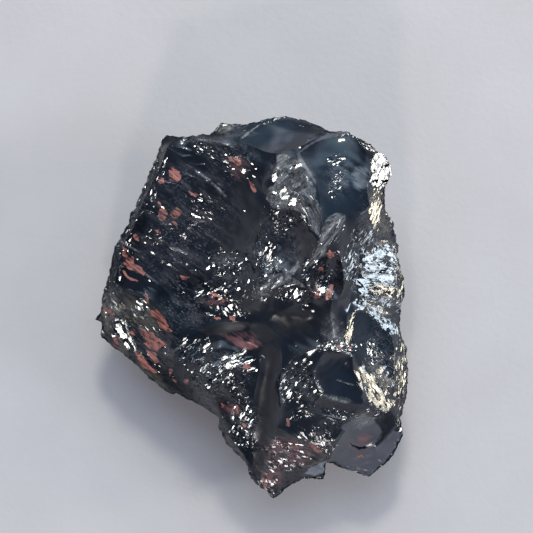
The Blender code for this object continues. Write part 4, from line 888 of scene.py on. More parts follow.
def sag(points, faces, hollows):
    """Heights for the points that no ridge holds: a skin stretched between ridges, with hollows."""
    xy, z = points[:, :2], points[:, 2].copy()
    pairs, weights = [], []
    area = np.zeros(len(xy))
    for turn in range(3):
        i, j, k = faces[:, turn], faces[:, (turn + 1) % 3], faces[:, (turn + 2) % 3]
        u, v = xy[i] - xy[k], xy[j] - xy[k]
        cross = np.abs(u[:, 0] * v[:, 1] - u[:, 1] * v[:, 0])
        pairs.append(np.column_stack([i, j]))
        weights.append(np.clip((u * v).sum(axis=1) / np.maximum(cross, TINY) / 2, *SPRING_LIMITS))
        area += np.bincount(i, cross / 6, len(xy))
    i, j = np.concatenate(pairs).T
    w = np.concatenate(weights)
    total = np.bincount(i, w, len(xy)) + np.bincount(j, w, len(xy))
    pull = np.zeros(len(xy))
    for x, y, reach, depth in hollows:
        far = np.hypot(xy[:, 0] - x, xy[:, 1] - y) / reach
        # A bowl of this depth and reach has the curvature 4 * depth / reach**2.
        pull -= 4 * depth / reach**2 * np.clip(HOLLOW_EDGE - far, 0, 1) ** 0.5 * area
    z[np.isnan(z) & (total == 0)] = 0.0  # a spare point that no triangle uses
    free = np.isnan(z)
    z[free] = 0.0

    def stiffness(h):
        return total * h - np.bincount(i, w * h[j], len(h)) - np.bincount(j, w * h[i], len(h))

    # Conjugate gradients move the free heights until the skin is at rest.
    rest = np.where(free, pull - stiffness(z), 0.0)
    scale = np.where(free, 1 / np.maximum(total, TINY), 0.0)
    step = rest * scale
    size = (rest * step).sum()
    for _ in range(SOLVER_ROUNDS):
        if size < AT_REST:
            break
        pushed = np.where(free, stiffness(step), 0.0)
        share = size / (step * pushed).sum()
        z += share * step
        rest -= share * pushed
        eased = rest * scale
        size, before = (rest * eased).sum(), size
        step = eased + size / before * step
    return np.column_stack([xy, z])


def skin(ridges, step, hollows, empty_loop=None):
    """One skin of the stone: its ridges laid out, its triangles split, and its heights found."""
    points, faces, held_edges = lay_sheet(ridges, step, empty_loop)
    points, faces = split_faces(points, faces, held_edges, SPLIT)
    return sag(points, faces, hollows), faces


def border(faces):
    """The points on the open border of a sheet of triangles."""
    sides = np.sort(np.vstack([faces[:, [0, 1]], faces[:, [1, 2]], faces[:, [2, 0]]]), axis=1)
    sides, count = np.unique(sides, axis=0, return_counts=True)
    return set(sides[count == 1].ravel().tolist())


def join_skins(top, top_faces, under, under_faces):
    """One closed set of points and triangles: the two skins share the points of the rim."""
    spots = {seen_place(top[i]): i for i in border(top_faces)}
    place = np.arange(len(under)) + len(top)
    for i in border(under_faces):
        place[i] = spots.get(seen_place(under[i]), place[i])
    points = np.vstack([top, under])
    faces = np.vstack([top_faces, place[under_faces][:, ::-1]])
    # A corner of the rim that both skins close with the same triangle has no thickness: drop it.
    _, same, count = np.unique(
        np.sort(faces, axis=1), axis=0, return_inverse=True, return_counts=True
    )
    faces = faces[count[same.ravel()] == 1]
    used, faces = np.unique(faces, return_inverse=True)
    return points[used], faces.reshape(-1, 3)


def point_normals(points, faces):
    """The way the surface faces at each point, where larger triangles count for more."""
    a, b, c = points[faces[:, 0]], points[faces[:, 1]], points[faces[:, 2]]
    across = np.cross(b - a, c - a)
    normals = np.zeros_like(points)
    for axis in range(3):
        for corner in range(3):
            normals[:, axis] += np.bincount(faces[:, corner], across[:, axis], len(points))
    return normals / np.maximum(np.linalg.norm(normals, axis=1), TINY)[:, None]


# ---- Noise and fields ----
def waves(points, wavelength, seed=0.0, stretch=(1, 1, 1)):
    """Smooth noise of about -1 to 1 at every point."""
    shift = Vector((seed, seed * 0.37, -seed * 0.61))
    scale = 1 / wavelength
    return np.array([noise.noise(Vector(p) * scale + shift) for p in (points / stretch).tolist()])


def solid_waves(points, wavelength):
    """The noise that waves the plain solid, which is shifted by its wavelength instead of a seed."""
    shift = Vector((wavelength * 3.7, 0, 0))
    return np.array([noise.noise(Vector(p) / wavelength + shift) for p in points.tolist()])


def layered(points, layers):
    """Several layers of smooth noise added up."""
    total = np.zeros(len(points))
    for height, *layer in layers:
        total += height * waves(points, *layer)
    return total


def smooth_step(value, low, high):
    """0 below the low value and 1 above the high one, with a smooth bend between."""
    t = np.clip((value - low) / (high - low), 0, 1)
    return t * t * (3 - 2 * t)


def above_foot(points, start, span):
    """0 up to a height above the foot, and 1 from a span above that."""
    return np.clip((points[:, 2] - start) / span, 0, 1)


def scattered(cells, salt):
    """Three numbers from 0 to 1 for each whole-numbered cell, always the same for the same cell."""
    x, y, z = cells.astype(np.int64).T
    # Large multipliers leave nothing of the order of the cells.
    mixed = (x * 73856093) ^ (y * 19349663) ^ (z * 83492791) ^ (salt * 6542989)
    found = []
    for turn in range(3):
        mixed = (mixed * 1103515245 + 12345 + turn * 7919) & 0x7FFFFFFF
        mixed = mixed ^ (mixed >> 13)
        found.append(((mixed * 2246822519) & 0xFFFFFFFF) / 0xFFFFFFFF)
    return np.stack(found, axis=1)


def chip_cells(points, salt):
    """For each point: its way from the middle of its chip, and three numbers from 0 to 1 of that chip."""
    base = np.floor(points)
    nearest = np.full(len(points), np.inf)
    away = np.zeros((len(points), 3))
    lot = np.zeros((len(points), 3))
    for x in (-1, 0, 1):
        for y in (-1, 0, 1):
            for z in (-1, 0, 1):
                cell = base + (x, y, z)
                gap = points - (cell + CELL_MARGIN + (1 - 2 * CELL_MARGIN) * scattered(cell, salt))
                far = (gap**2).sum(axis=1)
                closer = far < nearest
                nearest = np.where(closer, far, nearest)
                away[closer] = gap[closer]
                lot[closer] = scattered(cell[closer], salt + SECOND_LOT)
    return away, lot


def turned(points, degrees):
    """The points in axes that are turned about z."""
    angle = math.radians(degrees)
    along = points[:, 0] * math.cos(angle) + points[:, 1] * math.sin(angle)
    across = points[:, 1] * math.cos(angle) - points[:, 0] * math.sin(angle)
    return np.column_stack([along, across, points[:, 2]])


def patch_share(points, x, y, reach_along, reach_across, turn):
    """1 in the middle of an oval patch, 0 at its edge, and below 0 outside it."""
    local = turned(points - [x, y, 0], turn)
    return 1 - np.hypot(local[:, 0] / reach_along, local[:, 1] / reach_across)


def patch_field(points, patches):
    """The strongest patch at each point: its amount in the middle, 0 at its edge, below 0 outside."""
    field = np.full(len(points), -1.0)
    for *oval, amount in patches:
        share = patch_share(points, *oval)
        field = np.maximum(field, np.where(share > 0, share * amount, share))
    return np.clip(field, -1, 1)


def outline_field(points, outlines):
    """How far each point is inside the nearest outline, in mm, and below 0 outside it, at most 1."""
    field = np.full(len(points), -1.0)
    for outline in outlines:
        corners = np.array(outline)
        low, high = corners.min(axis=0) - 1, corners.max(axis=0) + 1
        close = np.nonzero(((points[:, :2] > low) & (points[:, :2] < high)).all(axis=1))[0]
        spots = points[close, :2]
        gap = np.full(len(close), np.inf)
        for start, end in zip(corners, np.roll(corners, -1, axis=0)):
            run = end - start
            along = np.clip((spots - start) @ run / (run @ run), 0, 1)
            gap = np.minimum(gap, np.hypot(*(spots - start - along[:, None] * run).T))
        inside = inside_loop(spots[:, 0], spots[:, 1], outline)
        field[close] = np.maximum(field[close], np.where(inside, gap, -gap))
    return np.clip(field, -1, 1)


# ---- The bare form ----
def wear(points, faces):
    """The broad waviness and the lumpy patches, as on the plain solid."""
    normals = point_normals(points, faces)
    amount = np.zeros(len(points))
    for wavelength, height in WEAR:
        amount += height * solid_waves(points, wavelength)
    growth, edge = LUMP_FADE
    rough = np.zeros(len(points))
    for x, y, reach, height in LUMPS:
        far = np.hypot(points[:, 0] - x, points[:, 1] - y) / reach
        rough = np.maximum(rough, height * np.clip(growth * (edge - far), 0, 1))
    rough *= np.clip(normals[:, 2] * LUMP_FACING, 0, 1)
    amount += rough * waves(points, LUMP_WAVELENGTH)
    amount *= above_foot(points, *WEAR_ABOVE)
    return points + normals * amount[:, None]


def bare_form():
    """Points and triangles of the stone without its surface detail."""
    top, top_faces = skin(TOP_RIDGES, TOP_STEP, TOP_HOLLOWS)
    under, under_faces = skin(UNDER_RIDGES, UNDER_STEP, UNDER_HOLLOWS, UNDER_RIDGES["foot"][:-1])
    points, faces = join_skins(top, top_faces, under, under_faces)
    return wear(points, faces), faces


def centred(points):
    """The points moved so that the middle of their box is at x = y = 0 and its lowest side at z = 0."""
    low, high = points.min(axis=0), points.max(axis=0)
    return points - [(low[0] + high[0]) / 2, (low[1] + high[1]) / 2, low[2]]


# ---- Chips, steps, ripples and streaks ----
def bright_slope(azimuth, elevation):
    """The slope, in x and y, of a facet that mirrors a lamp to someone looking straight down."""
    tilt = math.radians(90 - elevation) / 2
    turn = math.radians(azimuth)
    return -math.tan(tilt) * np.array([math.cos(turn), math.sin(turn)])


def shining_way(azimuth, elevation):
    """The way a facet faces when it mirrors a lamp to someone looking straight down."""
    slope = bright_slope(azimuth, elevation)
    return tuple(Vector((-slope[0], -slope[1], 1)).normalized())


def chip_height(patch, scale, away, lot, normals):
    """Height of each point on its chip: some chips lie so that they shine, the rest as they fall."""
    level = CHIP_LEVEL * patch.height * (lot[:, 0] - 0.5)
    loose = patch.height * (away * (lot * 2 - 1)).sum(axis=1)
    slope = -normals[:, :2] / np.maximum(normals[:, 2:], LEAST_UP)
    wanted = bright_slope(*LAMPS[patch.lamp].place) + (lot[:, 1:] - 0.5) * AIM_SPREAD
    lean = wanted - slope
    lean *= np.minimum(1, STEEPEST_LEAN / np.maximum(np.hypot(*lean.T), TINY))[:, None]
    across_chip = turned(away * scale, -patch.direction)[:, :2]
    shining = (across_chip * lean).sum(axis=1) * normals[:, 2]
    chosen = lot[:, 2] < patch.shine * RAISED_SHINE
    return level + np.where(chosen, shining, loose)


def chipped(points, normals):
    """The hackle: its height, and four fields that the finish reads.

    They are how rough each point is, what share of its shards shines, which way those face, and its
    place counted in shards, turned and stretched as its patch is.
    """
    height = np.zeros(len(points))
    rough = np.zeros(len(points))
    lead = np.zeros(len(points))
    shine = LOOSE_SHINE * smooth_step(normals[:, 2], *LOOSE_FACING)
    faces_lamp = np.tile(shining_way(*LAMPS["key"].place), (len(points), 1))
    shards = turned(points, LOOSE_TURN) / LOOSE_SIZE
    ragged = layered(points, PATCH_EDGES)
    for salt, row in enumerate(HACKLE.values()):
        patch = Hackle(*row)
        share = patch_share(points, *patch[:5])
        share = np.where(share > PATCH_REACH, share + ragged, share)
        inside = np.nonzero((share > 0) & (normals[:, 2] > FACES_UP))[0]
        scale = np.array([patch.size * patch.stretch, patch.size, patch.size])
        local = turned(points[inside] - [patch.x, patch.y, 0], patch.direction) / scale
        away, lot = chip_cells(local, salt * SALT_STEP + 1)
        strength = smooth_step(share[inside], 0, PATCH_FADE)
        raised = chip_height(patch, scale, away, lot, normals[inside])
        height[inside] += CHIP_DEPTH * strength * raised
        rough[inside] = np.maximum(rough[inside], strength)
        # Where patches overlap, one of them leads, and the finish follows that one.
        weight = strength * (LEAD_AT_LEAST + patch.shine)
        leading = weight > lead[inside]
        ahead = inside[leading]
        lead[ahead] = weight[leading]
        shine[ahead] = patch.shine * SHINE
        faces_lamp[ahead] = shining_way(*LAMPS[patch.lamp].place)
        counted = local[leading] * SHARDS_PER_CHIP / [SHARD_STRETCH, 1, 1]
        shards[ahead] = counted + salt * SHARD_OFFSET
    return height, rough, shine, faces_lamp, shards


def side_chips(points, normals):
    """Chips in broad patches over the sides and the underside, none on the flat foot.

    Gives their height, and how rough each point is. They tilt at random, so that sharp steps run
    between them.
    """
    strength = smooth_step(layered(points, SIDE_PATCHES), *SIDE_PATCH_EDGE)
    strength *= smooth_step(-normals[:, 2], *SIDE_FACING)
    strength *= above_foot(points, *SIDE_CHIPS_ABOVE)
    inside = np.nonzero(strength > 0)[0]
    height = np.zeros(len(points))
    for share, direction, size, salt in SIDE_CHIPS:
        away, lot = chip_cells(turned(points[inside], direction) / size, salt)
        tilted = (away * (lot * 2 - 1)).sum(axis=1) + CHIP_LEVEL * (lot[:, 0] - 0.5)
        height[inside] += share * SIDE_CHIP * strength[inside] * tilted
    return height, strength


def flow_steps(points, facing_up):
    """Low straight steps, like torn layers, that run down to the right over the left faces."""
    height = np.zeros(len(points))
    for *oval, direction, spacing, deep in FLOW_PATCHES:
        share = patch_share(points, *oval)
        inside = np.nonzero((share > 0) & (facing_up > FACES_UP))[0]
        local = turned(points[inside] - [*oval[:2], 0], direction)
        phase = local[:, 1] / spacing + layered(local, STEP_WANDER) * STEP_STRAY
        step = phase - np.floor(phase)
        saw = np.where(step < STEP_RISE, step / STEP_RISE, (1 - step) / STEP_DROP) - 0.5
        broken = smooth_step(layered(local, STEP_BREAKS), *STEP_BREAK_EDGE)
        height[inside] += deep * saw * broken * smooth_step(share[inside], 0, STEP_FADE)
    return height


def rippled(points, facing_up):
    """Shell ripples: shallow rings about the spot where each blow landed."""
    height = np.zeros(len(points))
    for ring_x, ring_y, x, y, reach, spacing, deep in RIPPLES.values():
        share = 1 - np.hypot(points[:, 0] - x, points[:, 1] - y) / reach
        inside = (share > 0) & (facing_up > FACES_UP)
        far = np.hypot(points[:, 0] - ring_x, points[:, 1] - ring_y)
        ring = np.sin(far * 2 * math.pi / spacing) * smooth_step(share, 0, RIPPLE_FADE)
        height[inside] += deep * ring[inside]
    return height


def streaked(points, facing_up):
    """Height of the thin raised streaks, and how near each point is to one, from 0 to 1."""
    height = np.zeros(len(points))
    near = np.zeros(len(points))
    for x0, y0, x1, y1, width, deep in STREAKS:
        run = np.array([x1 - x0, y1 - y0])
        away = points[:, :2] - [x0, y0]
        along = np.clip((away @ run) / (run @ run), 0, 1)
        aside = np.hypot(*(away - along[:, None] * run).T)
        share = smooth_step(1 - aside / width, 0, STREAK_CREST) * (facing_up > FACES_UP)
        share *= smooth_step(0.5 - np.abs(along - 0.5), 0, STREAK_ENDS)
        height = np.maximum(height, deep * share)
        near = np.maximum(near, share)
    return height, near


def rim_nibbles(points):
    """Points near the rim pushed in and out, and how near each point is to the rim, from 0 to 1."""
    rim = np.array(split_line(RIM + RIM[:1], RIM_SPACING))[:, :2]
    gap = np.full(len(points), np.inf)
    for spot in rim:
        gap = np.minimum(gap, (points[:, 0] - spot[0]) ** 2 + (points[:, 1] - spot[1]) ** 2)
    near = 1 - smooth_step(np.sqrt(gap), *RIM_REACH)
    return NIBBLE * near * (layered(points, NIBBLE_WAVES) - NIBBLE_BITE), near


# ---- The whole surface ----
def surface_marks(points, facing_up, streak):
    """Fields of the patches and outlines where the finish changes, painted reflections, highlights and
    shade among them.
    """
    frosted = np.clip(FROST_GROWTH * outline_field(points, FROST_SHAPES.values()), -1, 1)
    frosted = np.maximum(frosted, patch_field(points, FROST_PATCHES))
    # Painted shade of the hook and the crack, given as full dullness.
    painted_shade = smooth_step(outline_field(points, SHADE_SHAPES.values()), *OUTLINE_EDGE)
    hollow = HOLLOW_DULL * smooth_step(outline_field(points, [HOLLOW_OUTLINE]), *OUTLINE_EDGE)
    dull = STEEP_DULL * smooth_step(STEEP_FROM - facing_up, 0, DULL_FADE)
    dull = np.maximum(dull, smooth_step(patch_field(points, DULL_PATCHES), 0, DULL_FADE))
    pale_sheen = outline_field(points, PALE_SHEEN_SHAPES.values())
    marks = {
        "rust": outline_field(points, RUST_SHAPES.values()),
        # The frost along the streaks is a painted highlight: the bright line that their step edges mirror.
        "frost_and_sheen": np.maximum(frosted, np.where(streak > 0, STREAK_SHEEN * streak, -1)),
        "olive": patch_field(points, OLIVE_PATCHES),
        "sky_reflection": patch_field(points, SKY_REFLECTION_PATCHES),
        "red": patch_field(points, RED_PATCHES),
        "matte": patch_field(points, MATTE_PATCHES),
        "grey_sheen": outline_field(points, GREY_SHEEN_SHAPES.values()),
        "pale_sheen": np.maximum(pale_sheen, patch_field(points, [HIGHLIGHT_DISC])),
    }
    # Seen from above, the outlines lie over the underside too, which has none of these marks.
    for name, field in marks.items():
        marks[name] = np.where(facing_up > TOP_FACING, field, -1.0)
    for name in ("grey_sheen", "red"):
        marks[name] = np.where(painted_shade > SHADE_HIDES, -1.0, marks[name])
    veins = np.clip(layered(points, SIDE_VEINS) - SIDE_RUST, -1, SIDE_RUST_MOST)
    on_sides = facing_up < SIDE_RUST_FACING
    marks["rust"] = np.where(on_sides, np.maximum(marks["rust"], veins), marks["rust"])
    marks["blocky"] = np.clip(frosted, 0, BLOCKY_MOST)
    # The dull field also carries that painted shade.
    marks["dull"] = np.maximum(dull, np.maximum(painted_shade, hollow))
    marks["worked"] = smooth_step(patch_field(points, WORKED_PATCHES), 0, WORKED_FADE)
    return marks


def shaped_stone():
    """Points and triangles of the stone in millimetres, and its named fields of surface marks."""
    points, faces = bare_form()
    normals = point_normals(points, faces)
    facing_up = normals[:, 2]
    chips, rough, shine, faces_lamp, shards = chipped(points, normals)
    sides, side_rough = side_chips(points, normals)
    streaks, streak = streaked(points, facing_up)
    nibbles, near_rim = rim_nibbles(points)
    height = chips + sides + streaks + flow_steps(points, facing_up)
    height += rippled(points, facing_up) + nibbles
    height *= above_foot(points, *DETAIL_ABOVE)
    marks = surface_marks(points, facing_up, streak)
    marks["rough"] = np.maximum(np.maximum(rough, side_rough), RIM_SHARDS * near_rim)
    marks["shine"] = shine
    marks["faces_lamp"] = faces_lamp
    marks["shards"] = shards
    return centred(points + normals * height[:, None]), faces, marks


# ---- Finish ----
class Nodes:
    """Adds nodes to the node tree of one material or world, and links their sockets."""

    def __init__(self, owner):
        owner.use_nodes = True
        self.tree = owner.node_tree

    def put(self, socket, value):
        """A link from another socket, or a plain value."""
        if isinstance(value, bpy.types.NodeSocket):
            self.tree.links.new(value, socket)
        else:
            socket.default_value = value

    def finish(self, looks):
        """Sets what the material's shader shows."""
        for name, value in looks.items():
            self.put(self.tree.nodes["Principled BSDF"].inputs[name], value)

    def add(self, kind, inputs, **settings):
        node = self.tree.nodes.new("ShaderNode" + kind)
        for name, value in settings.items():
            setattr(node, name, value)
        for name, value in inputs.items():
            self.put(node.inputs[name], value)
        return node

    def maths(self, operation, *values):
        return self.add("Math", dict(enumerate(values)), operation=operation).outputs[0]

    def times(self, first, second):
        return self.maths("MULTIPLY", first, second)

    def vectors(self, operation, *values):
        node = self.add("VectorMath", dict(enumerate(values)), operation=operation)
        return node.outputs["Value" if operation == "DOT_PRODUCT" else "Vector"]

    def scaled(self, vector, amount):
        node = self.add("VectorMath", {0: vector, "Scale": amount}, operation="SCALE")
        return node.outputs["Vector"]

    def about_zero(self, colour):
        """A random colour as a random direction."""
        return self.vectors("SUBTRACT", colour, (0.5, 0.5, 0.5))

    def noise(self, place, scale, detail, roughness=0.55):
        inputs = {"Vector": place, "Scale": scale, "Detail": detail, "Roughness": roughness}
        return self.add("TexNoise", inputs).outputs["Fac"]

    def ramp(self, value, low, high, to_low=0.0, to_high=1.0):
        """The value's way from low to high, bent smoothly, as a number between two others."""
        names = ("Value", "From Min", "From Max", "To Min", "To Max")
        inputs = dict(zip(names, (value, low, high, to_low, to_high)))
        return self.add("MapRange", inputs, interpolation_type="SMOOTHSTEP").outputs["Result"]

    def mixed(self, kind, first_socket, output, share, first, second):
        """A Mix node has sockets for every kind of data, so they are picked by number."""
        inputs = {0: share, first_socket: first, first_socket + 1: second}
        return self.add("Mix", inputs, data_type=kind).outputs[output]

    def blend(self, share, first, second):
        """A colour between two."""
        return self.mixed("RGBA", 6, 2, share, first, second)

    def choose(self, share, first, second):
        """A direction between two."""
        return self.mixed("VECTOR", 4, 1, share, first, second)

    def mark(self, name, output="Fac"):
        """A named field of the mesh."""
        return self.add("Attribute", {}, attribute_name=name).outputs[output]


def shard_cells(nodes, scale=1.0):
    """The shards as cells: a random colour and a random number for each."""
    place = nodes.mark("shards", "Vector")
    jag = nodes.add("TexNoise", {"Vector": place, "Scale": JAG_SCALE * scale, "Detail": 3})
    jagged = nodes.scaled(nodes.about_zero(jag.outputs["Color"]), SHARD_JAG / scale)
    jagged = nodes.vectors("ADD", place, jagged)
    cells = nodes.add("TexVoronoi", {"Vector": jagged, "Scale": scale})
    lot = nodes.add("TexWhiteNoise", {"Vector": cells.outputs["Position"]}).outputs["Value"]
    return cells.outputs["Color"], lot


def glass_patterns(nodes):
    """The patterns that the finish mixes: noises, some drawn out along the flow, and shards."""
    place = nodes.add("TexCoord", {}).outputs["Object"]
    inputs = {"Vector": place, "Rotation": (0, 0, FLOW_TURN), "Scale": FLOW_STRETCH}
    flow = nodes.add("Mapping", inputs, vector_type="TEXTURE").outputs["Vector"]
    return {
        "flow": flow,
        "cloudy": nodes.noise(place, *CLOUDS),
        "grain": nodes.noise(place, *FINE_GRAIN),
        "torn": nodes.noise(flow, *TEARS),
        "ragged": nodes.noise(flow, *FINE_TEARS),
        "strands": nodes.noise(nodes.vectors("MULTIPLY", flow, STRAND_STRETCH), *STRANDS),
        "shards": shard_cells(nodes),
        "blocks": shard_cells(nodes, BLOCK_SCALE),
    }


def mark_amount(nodes, name, pattern):
    """How much of a mark shows: its field, made ragged by a pattern, between two limits."""
    low, high, raggedness = MARK_EDGES[name]
    raised = nodes.maths("SUBTRACT", pattern, 0.5)
    field = nodes.maths("MULTIPLY_ADD", raised, raggedness, nodes.mark(name))
    return nodes.ramp(field, low, high)


def mark_amounts(nodes, patterns):
    """How much of each mark shows, from 0 to 1."""
    torn, cloudy = patterns["torn"], patterns["cloudy"]
    amounts = {name: mark_amount(nodes, name, torn) for name in ("olive", "red", "matte", "grey_sheen")}
    amounts["sky_reflection"] = mark_amount(nodes, "sky_reflection", cloudy)
    amounts["pale_sheen"] = nodes.times(mark_amount(nodes, "pale_sheen", torn), nodes.ramp(torn, *TORN_PALE_SHEEN))
    gaps = nodes.ramp(patterns["strands"], *RUST_GAPS)
    amounts["rust"] = nodes.times(mark_amount(nodes, "rust", patterns["ragged"]), gaps)
    frost_and_sheen = nodes.times(mark_amount(nodes, "frost_and_sheen", torn), nodes.ramp(patterns["blocks"][1], *FROST_BY_BLOCK))
    frost_and_sheen = nodes.times(frost_and_sheen, nodes.ramp(patterns["shards"][1], *FROST_BY_SHARD))
    striae = nodes.noise(nodes.mark("shards", "Vector"), *STRIAE)
    frost_and_sheen = nodes.times(frost_and_sheen, nodes.ramp(striae, *FROST_STRIAE))
    scuffs = nodes.ramp(nodes.noise(patterns["flow"], *SCUFFS), *SCUFF_SHARE)
    scuffs = nodes.times(scuffs, nodes.ramp(cloudy, *CLOUDY_SCUFFS))
    amounts["frost_and_sheen"] = nodes.maths("MAXIMUM", frost_and_sheen, nodes.times(scuffs, nodes.mark("worked")))
    return amounts


def glass_colour(nodes, patterns, amounts):
    """Near-black glass, with each mark's colour laid over it in turn; some are painted reflections and
    highlights.
    """
    torn, cloudy = patterns["torn"], patterns["cloudy"]
    smudges = nodes.ramp(nodes.noise(patterns["flow"], *SMUDGES), *SMUDGE_SHARE)
    rust_tone = nodes.blend(nodes.ramp(patterns["strands"], *RUST_TONES), RUST_DARK, RUST_LIGHT)
    layers = [
        # The sky reflection, grey sheen and pale sheen are painted reflections and highlights, and the
        # frost layer holds painted streak highlights too.
        (amounts["sky_reflection"], SKY_REFLECTION_BLUE),
        (nodes.times(amounts["matte"], MATTE_COLOUR), BROWN_BLACK),
        (nodes.times(amounts["grey_sheen"], nodes.ramp(cloudy, *CLOUDY_GREY_SHEEN)), GREY_SHEEN_COLOUR),
        (nodes.times(amounts["olive"], nodes.ramp(torn, *TORN_OLIVE)), OLIVE),
        (nodes.times(amounts["red"], nodes.ramp(torn, *TORN_RED)), RED),
        (nodes.times(smudges, nodes.mark("worked")), SMUDGE),
        (amounts["frost_and_sheen"], FROST_AND_SHEEN),
        (amounts["pale_sheen"], PALE_SHEEN_GREY),
        (amounts["rust"], rust_tone),
    ]
    colour = nodes.blend(nodes.ramp(cloudy, *CLOUDY_BLUE), BLACK, BLUE_BLACK)
    for share, layer in layers:
        colour = nodes.blend(share, colour, layer)
    return colour


def glass_roughness(nodes, patterns, amounts):
    """Glossy glass, rougher where a mark shows."""
    shares = {**amounts, "painted_sheens": nodes.maths("MAXIMUM", amounts["grey_sheen"], amounts["pale_sheen"])}
    roughness = nodes.ramp(patterns["cloudy"], *CLOUDY_ROUGHNESS, *GLASS_ROUGHNESS)
    for name, more in ROUGHER.items():
        roughness = nodes.maths("MULTIPLY_ADD", shares[name], more, roughness)
    return roughness


def flecks(nodes, flow, lamp, worked):
    """Tiny bright facets, thinly scattered over the smooth faces too: where they are, and their way."""
    spots = nodes.add("TexVoronoi", {"Vector": flow, "Scale": FLECKS_PER_METRE})
    near = nodes.maths("LESS_THAN", spots.outputs["Distance"], FLECK_REACH)
    lot = nodes.add("TexWhiteNoise", {"Vector": spots.outputs["Position"]}).outputs["Value"]
    chance = nodes.maths("MULTIPLY_ADD", worked, WORKED_FLECKS, FLECK_SHARE)
    stray = nodes.scaled(nodes.about_zero(spots.outputs["Color"]), FLECK_SPREAD)
    shining = nodes.times(near, nodes.maths("LESS_THAN", lot, chance))
    return shining, nodes.vectors("ADD", lamp, stray)


def splintered(nodes, patterns):
    """Surface directions of the shards, flat facets, and which of them lie so that they shine."""
    colour, lot = patterns["shards"]
    smooth = nodes.add("NewGeometry", {}).outputs["Normal"]
    rough, shine, worked = nodes.mark("rough"), nodes.mark("shine"), nodes.mark("worked")
    lamp = nodes.mark("faces_lamp", "Vector")
    tilt = nodes.about_zero(colour)
    uneven = nodes.maths("MULTIPLY_ADD", rough, SHARD_TILT, nodes.times(worked, WORKED_TILT))
    loose = nodes.vectors("ADD", smooth, nodes.scaled(tilt, uneven))
    block_tilt = nodes.scaled(nodes.about_zero(patterns["blocks"][0]), FROST_TILT)
    blocky = nodes.maths("MULTIPLY_ADD", worked, WORKED_BLOCKS, nodes.mark("blocky"))
    loose = nodes.vectors("ADD", loose, nodes.scaled(block_tilt, blocky))
    aimed = nodes.vectors("ADD", lamp, nodes.scaled(tilt, nodes.ramp(shine, *AIMED_SPREAD)))
    crowded = nodes.ramp(nodes.noise(nodes.mark("shards", "Vector"), *CLUMPS), *CLUMPED)
    chosen = nodes.maths("LESS_THAN", lot, nodes.times(nodes.times(shine, rough), crowded))
    facing = nodes.vectors("DOT_PRODUCT", smooth, lamp)
    chosen = nodes.times(chosen, nodes.ramp(facing, *CAN_SHINE))
    facets = nodes.choose(chosen, loose, aimed)
    fleck, fleck_way = flecks(nodes, patterns["flow"], lamp, worked)
    facets = nodes.choose(fleck, facets, fleck_way)
    return nodes.vectors("NORMALIZE", facets), nodes.maths("MAXIMUM", chosen, fleck)


def stone_finish():
    """Near-black glass, with rust, grey bloom, olive and red tints, painted reflections, highlights and
    shade, and a fine splintered bump.
    """
    material = bpy.data.materials.new("glassy_stone")
    nodes = Nodes(material)
    patterns = glass_patterns(nodes)
    amounts = mark_amounts(nodes, patterns)
    facets, lit = splintered(nodes, patterns)
    # Where the dull field is full the sheen is cut; this also paints the shade of the hook and the crack.
    dull = nodes.times(nodes.mark("dull"), nodes.maths("SUBTRACT", 1.0, lit))
    coarse = nodes.maths("MULTIPLY_ADD", amounts["rust"], GRAIN_OF_RUST, GRAIN_OF_GLASS)
    grain = nodes.times(patterns["grain"], coarse)
    inputs = {"Strength": GRAIN_STRENGTH, "Distance": GRAIN_DEPTH, "Height": grain, "Normal": facets}
    nodes.finish({
        "Base Color": glass_colour(nodes, patterns, amounts),
        "Roughness": glass_roughness(nodes, patterns, amounts),
        "IOR": GLASS_INDEX,
        "Specular IOR Level": nodes.ramp(dull, 0, 1, FULL_SHEEN, DULL_SHEEN),
        "Normal": nodes.add("Bump", inputs).outputs[0],
    })
    return material


def placed(name, data):
    """A new object in the scene."""
    thing = bpy.data.objects.new(name, data)
    bpy.context.scene.collection.objects.link(thing)
    return thing


def build_stone():
    """The fine mesh with its fields and its finish, smooth but for its sharp edges."""
    points, faces, marks = shaped_stone()
    mesh = bpy.data.meshes.new("stone")
    mesh.from_pydata((points * MM).tolist(), [], faces.tolist())
    for name, values in marks.items():
        kind, member = ("FLOAT", "value") if values.ndim == 1 else ("FLOAT_VECTOR", "vector")
        field = mesh.attributes.new(name, kind, "POINT")
        field.data.foreach_set(member, values.astype(np.float32).ravel())
    mesh.materials.append(stone_finish())
    mesh.shade_smooth()
    shape = bmesh.new()
    shape.from_mesh(mesh)
    bmesh.ops.recalc_face_normals(shape, faces=shape.faces)
    for edge in shape.edges:
        edge.smooth = len(edge.link_faces) != 2 or edge.calc_face_angle(0) < SHARP_ANGLE
    shape.to_mesh(mesh)
    shape.free()
    return placed("glassy_stone", mesh)


# ---- The stage ----
def build_floor():
    """A sheet of pale, faintly mottled paper."""
    half = FLOOR_SIDE / 2
    mesh = bpy.data.meshes.new("paper")
    corners = [(-half, -half, 0), (half, -half, 0), (half, half, 0), (-half, half, 0)]
    mesh.from_pydata(corners, [], [(0, 1, 2, 3)])
    material = bpy.data.materials.new("pale_paper")
    nodes = Nodes(material)
    place = nodes.add("TexCoord", {}).outputs["Object"]
    mottle = nodes.ramp(nodes.noise(place, *PAPER_MOTTLE), *PAPER_TONES)
    grain = nodes.noise(place, *PAPER_GRAIN)
    inputs = {"Strength": PAPER_GRAIN_STRENGTH, "Distance": PAPER_GRAIN_DEPTH, "Height": grain}
    nodes.finish({
        "Base Color": nodes.blend(mottle, PAPER_DARK, PAPER_LIGHT),
        "Roughness": PAPER_ROUGHNESS,
        "IOR": PAPER_INDEX,
        "Normal": nodes.add("Bump", inputs).outputs[0],
    })
    mesh.materials.append(material)
    return placed("floor", mesh)


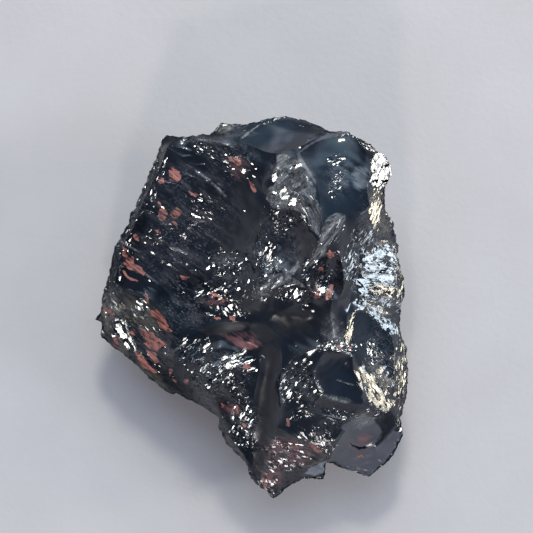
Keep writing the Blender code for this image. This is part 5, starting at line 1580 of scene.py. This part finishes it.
def towards(azimuth, elevation):
    """The direction of something by its azimuth from +X and its elevation, in degrees."""
    turn, lift = math.radians(azimuth), math.radians(elevation)
    return Vector((math.cos(lift) * math.cos(turn), math.cos(lift) * math.sin(turn), math.sin(lift)))


def build_sky():
    """Soft light from all round: darker overhead and on the far side, with one wide, soft glow."""
    world = bpy.data.worlds.new("studio")
    nodes = Nodes(world)
    direction = nodes.add("TexCoord", {}).outputs["Generated"]
    upward = nodes.add("SeparateXYZ", {0: direction}).outputs["Z"]
    by_height = nodes.add("ValToRGB", {0: upward})
    elements = by_height.color_ramp.elements
    while len(elements) < len(SKY):
        elements.new(0.5)
    for element, (height, colour) in zip(elements, SKY):
        element.position = height
        element.color = (*colour, 1)
    side = nodes.vectors("DOT_PRODUCT", direction, BRIGHT_SIDE)
    strength = nodes.ramp(side, *BRIGHT_SIDE_REACH, SKY_STRENGTH * DARK_SHARE, SKY_STRENGTH)
    sky = nodes.tree.nodes["Background"]
    nodes.put(sky.inputs["Color"], by_height.outputs[0])
    nodes.put(sky.inputs["Strength"], strength)
    closeness = nodes.vectors("DOT_PRODUCT", direction, towards(*GLOW))
    glowing = nodes.ramp(closeness, math.cos(math.radians(GLOW_REACH)), 1, 0, GLOW_STRENGTH)
    glow = nodes.add("Background", {"Color": GLOW_COLOUR, "Strength": glowing})
    both = nodes.add("AddShader", {0: sky.outputs[0], 1: glow.outputs[0]})
    nodes.put(nodes.tree.nodes["World Output"].inputs["Surface"], both.outputs[0])
    bpy.context.scene.world = world


def add_lamp(name, place, sides, watts, colour):
    """A rectangular lamp that faces the middle of the stone."""
    lamp = bpy.data.lights.new(name, "AREA")
    lamp.shape = "RECTANGLE"
    lamp.size, lamp.size_y = sides
    lamp.energy = watts
    lamp.color = colour
    away = towards(*place)
    lit = placed(name, lamp)
    lit.location = away * LAMP_DISTANCE + Vector((0, 0, AIM_HEIGHT))
    lit.rotation_euler = (-away).to_track_quat("-Z", "Y").to_euler()


def add_camera():
    """Straight above the stone, looking down, with the back of the stone at the top of the picture."""
    camera = bpy.data.cameras.new("camera")
    camera.sensor_width = SENSOR_WIDTH
    camera.lens = camera.sensor_width * CAMERA_HEIGHT / VIEW_WIDTH
    camera.clip_start = NEAREST_SEEN
    seen = placed("camera", camera)
    seen.location = (*VIEW_CENTRE, CAMERA_HEIGHT + AIM_HEIGHT)
    bpy.context.scene.camera = seen


stone = build_stone()
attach(stone, "root")
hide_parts("shungite_nugget")
build_floor()
build_sky()
for name, lamp in LAMPS.items():
    add_lamp(name, *lamp)
add_camera()
bpy.context.scene.view_settings.view_transform = "Standard"
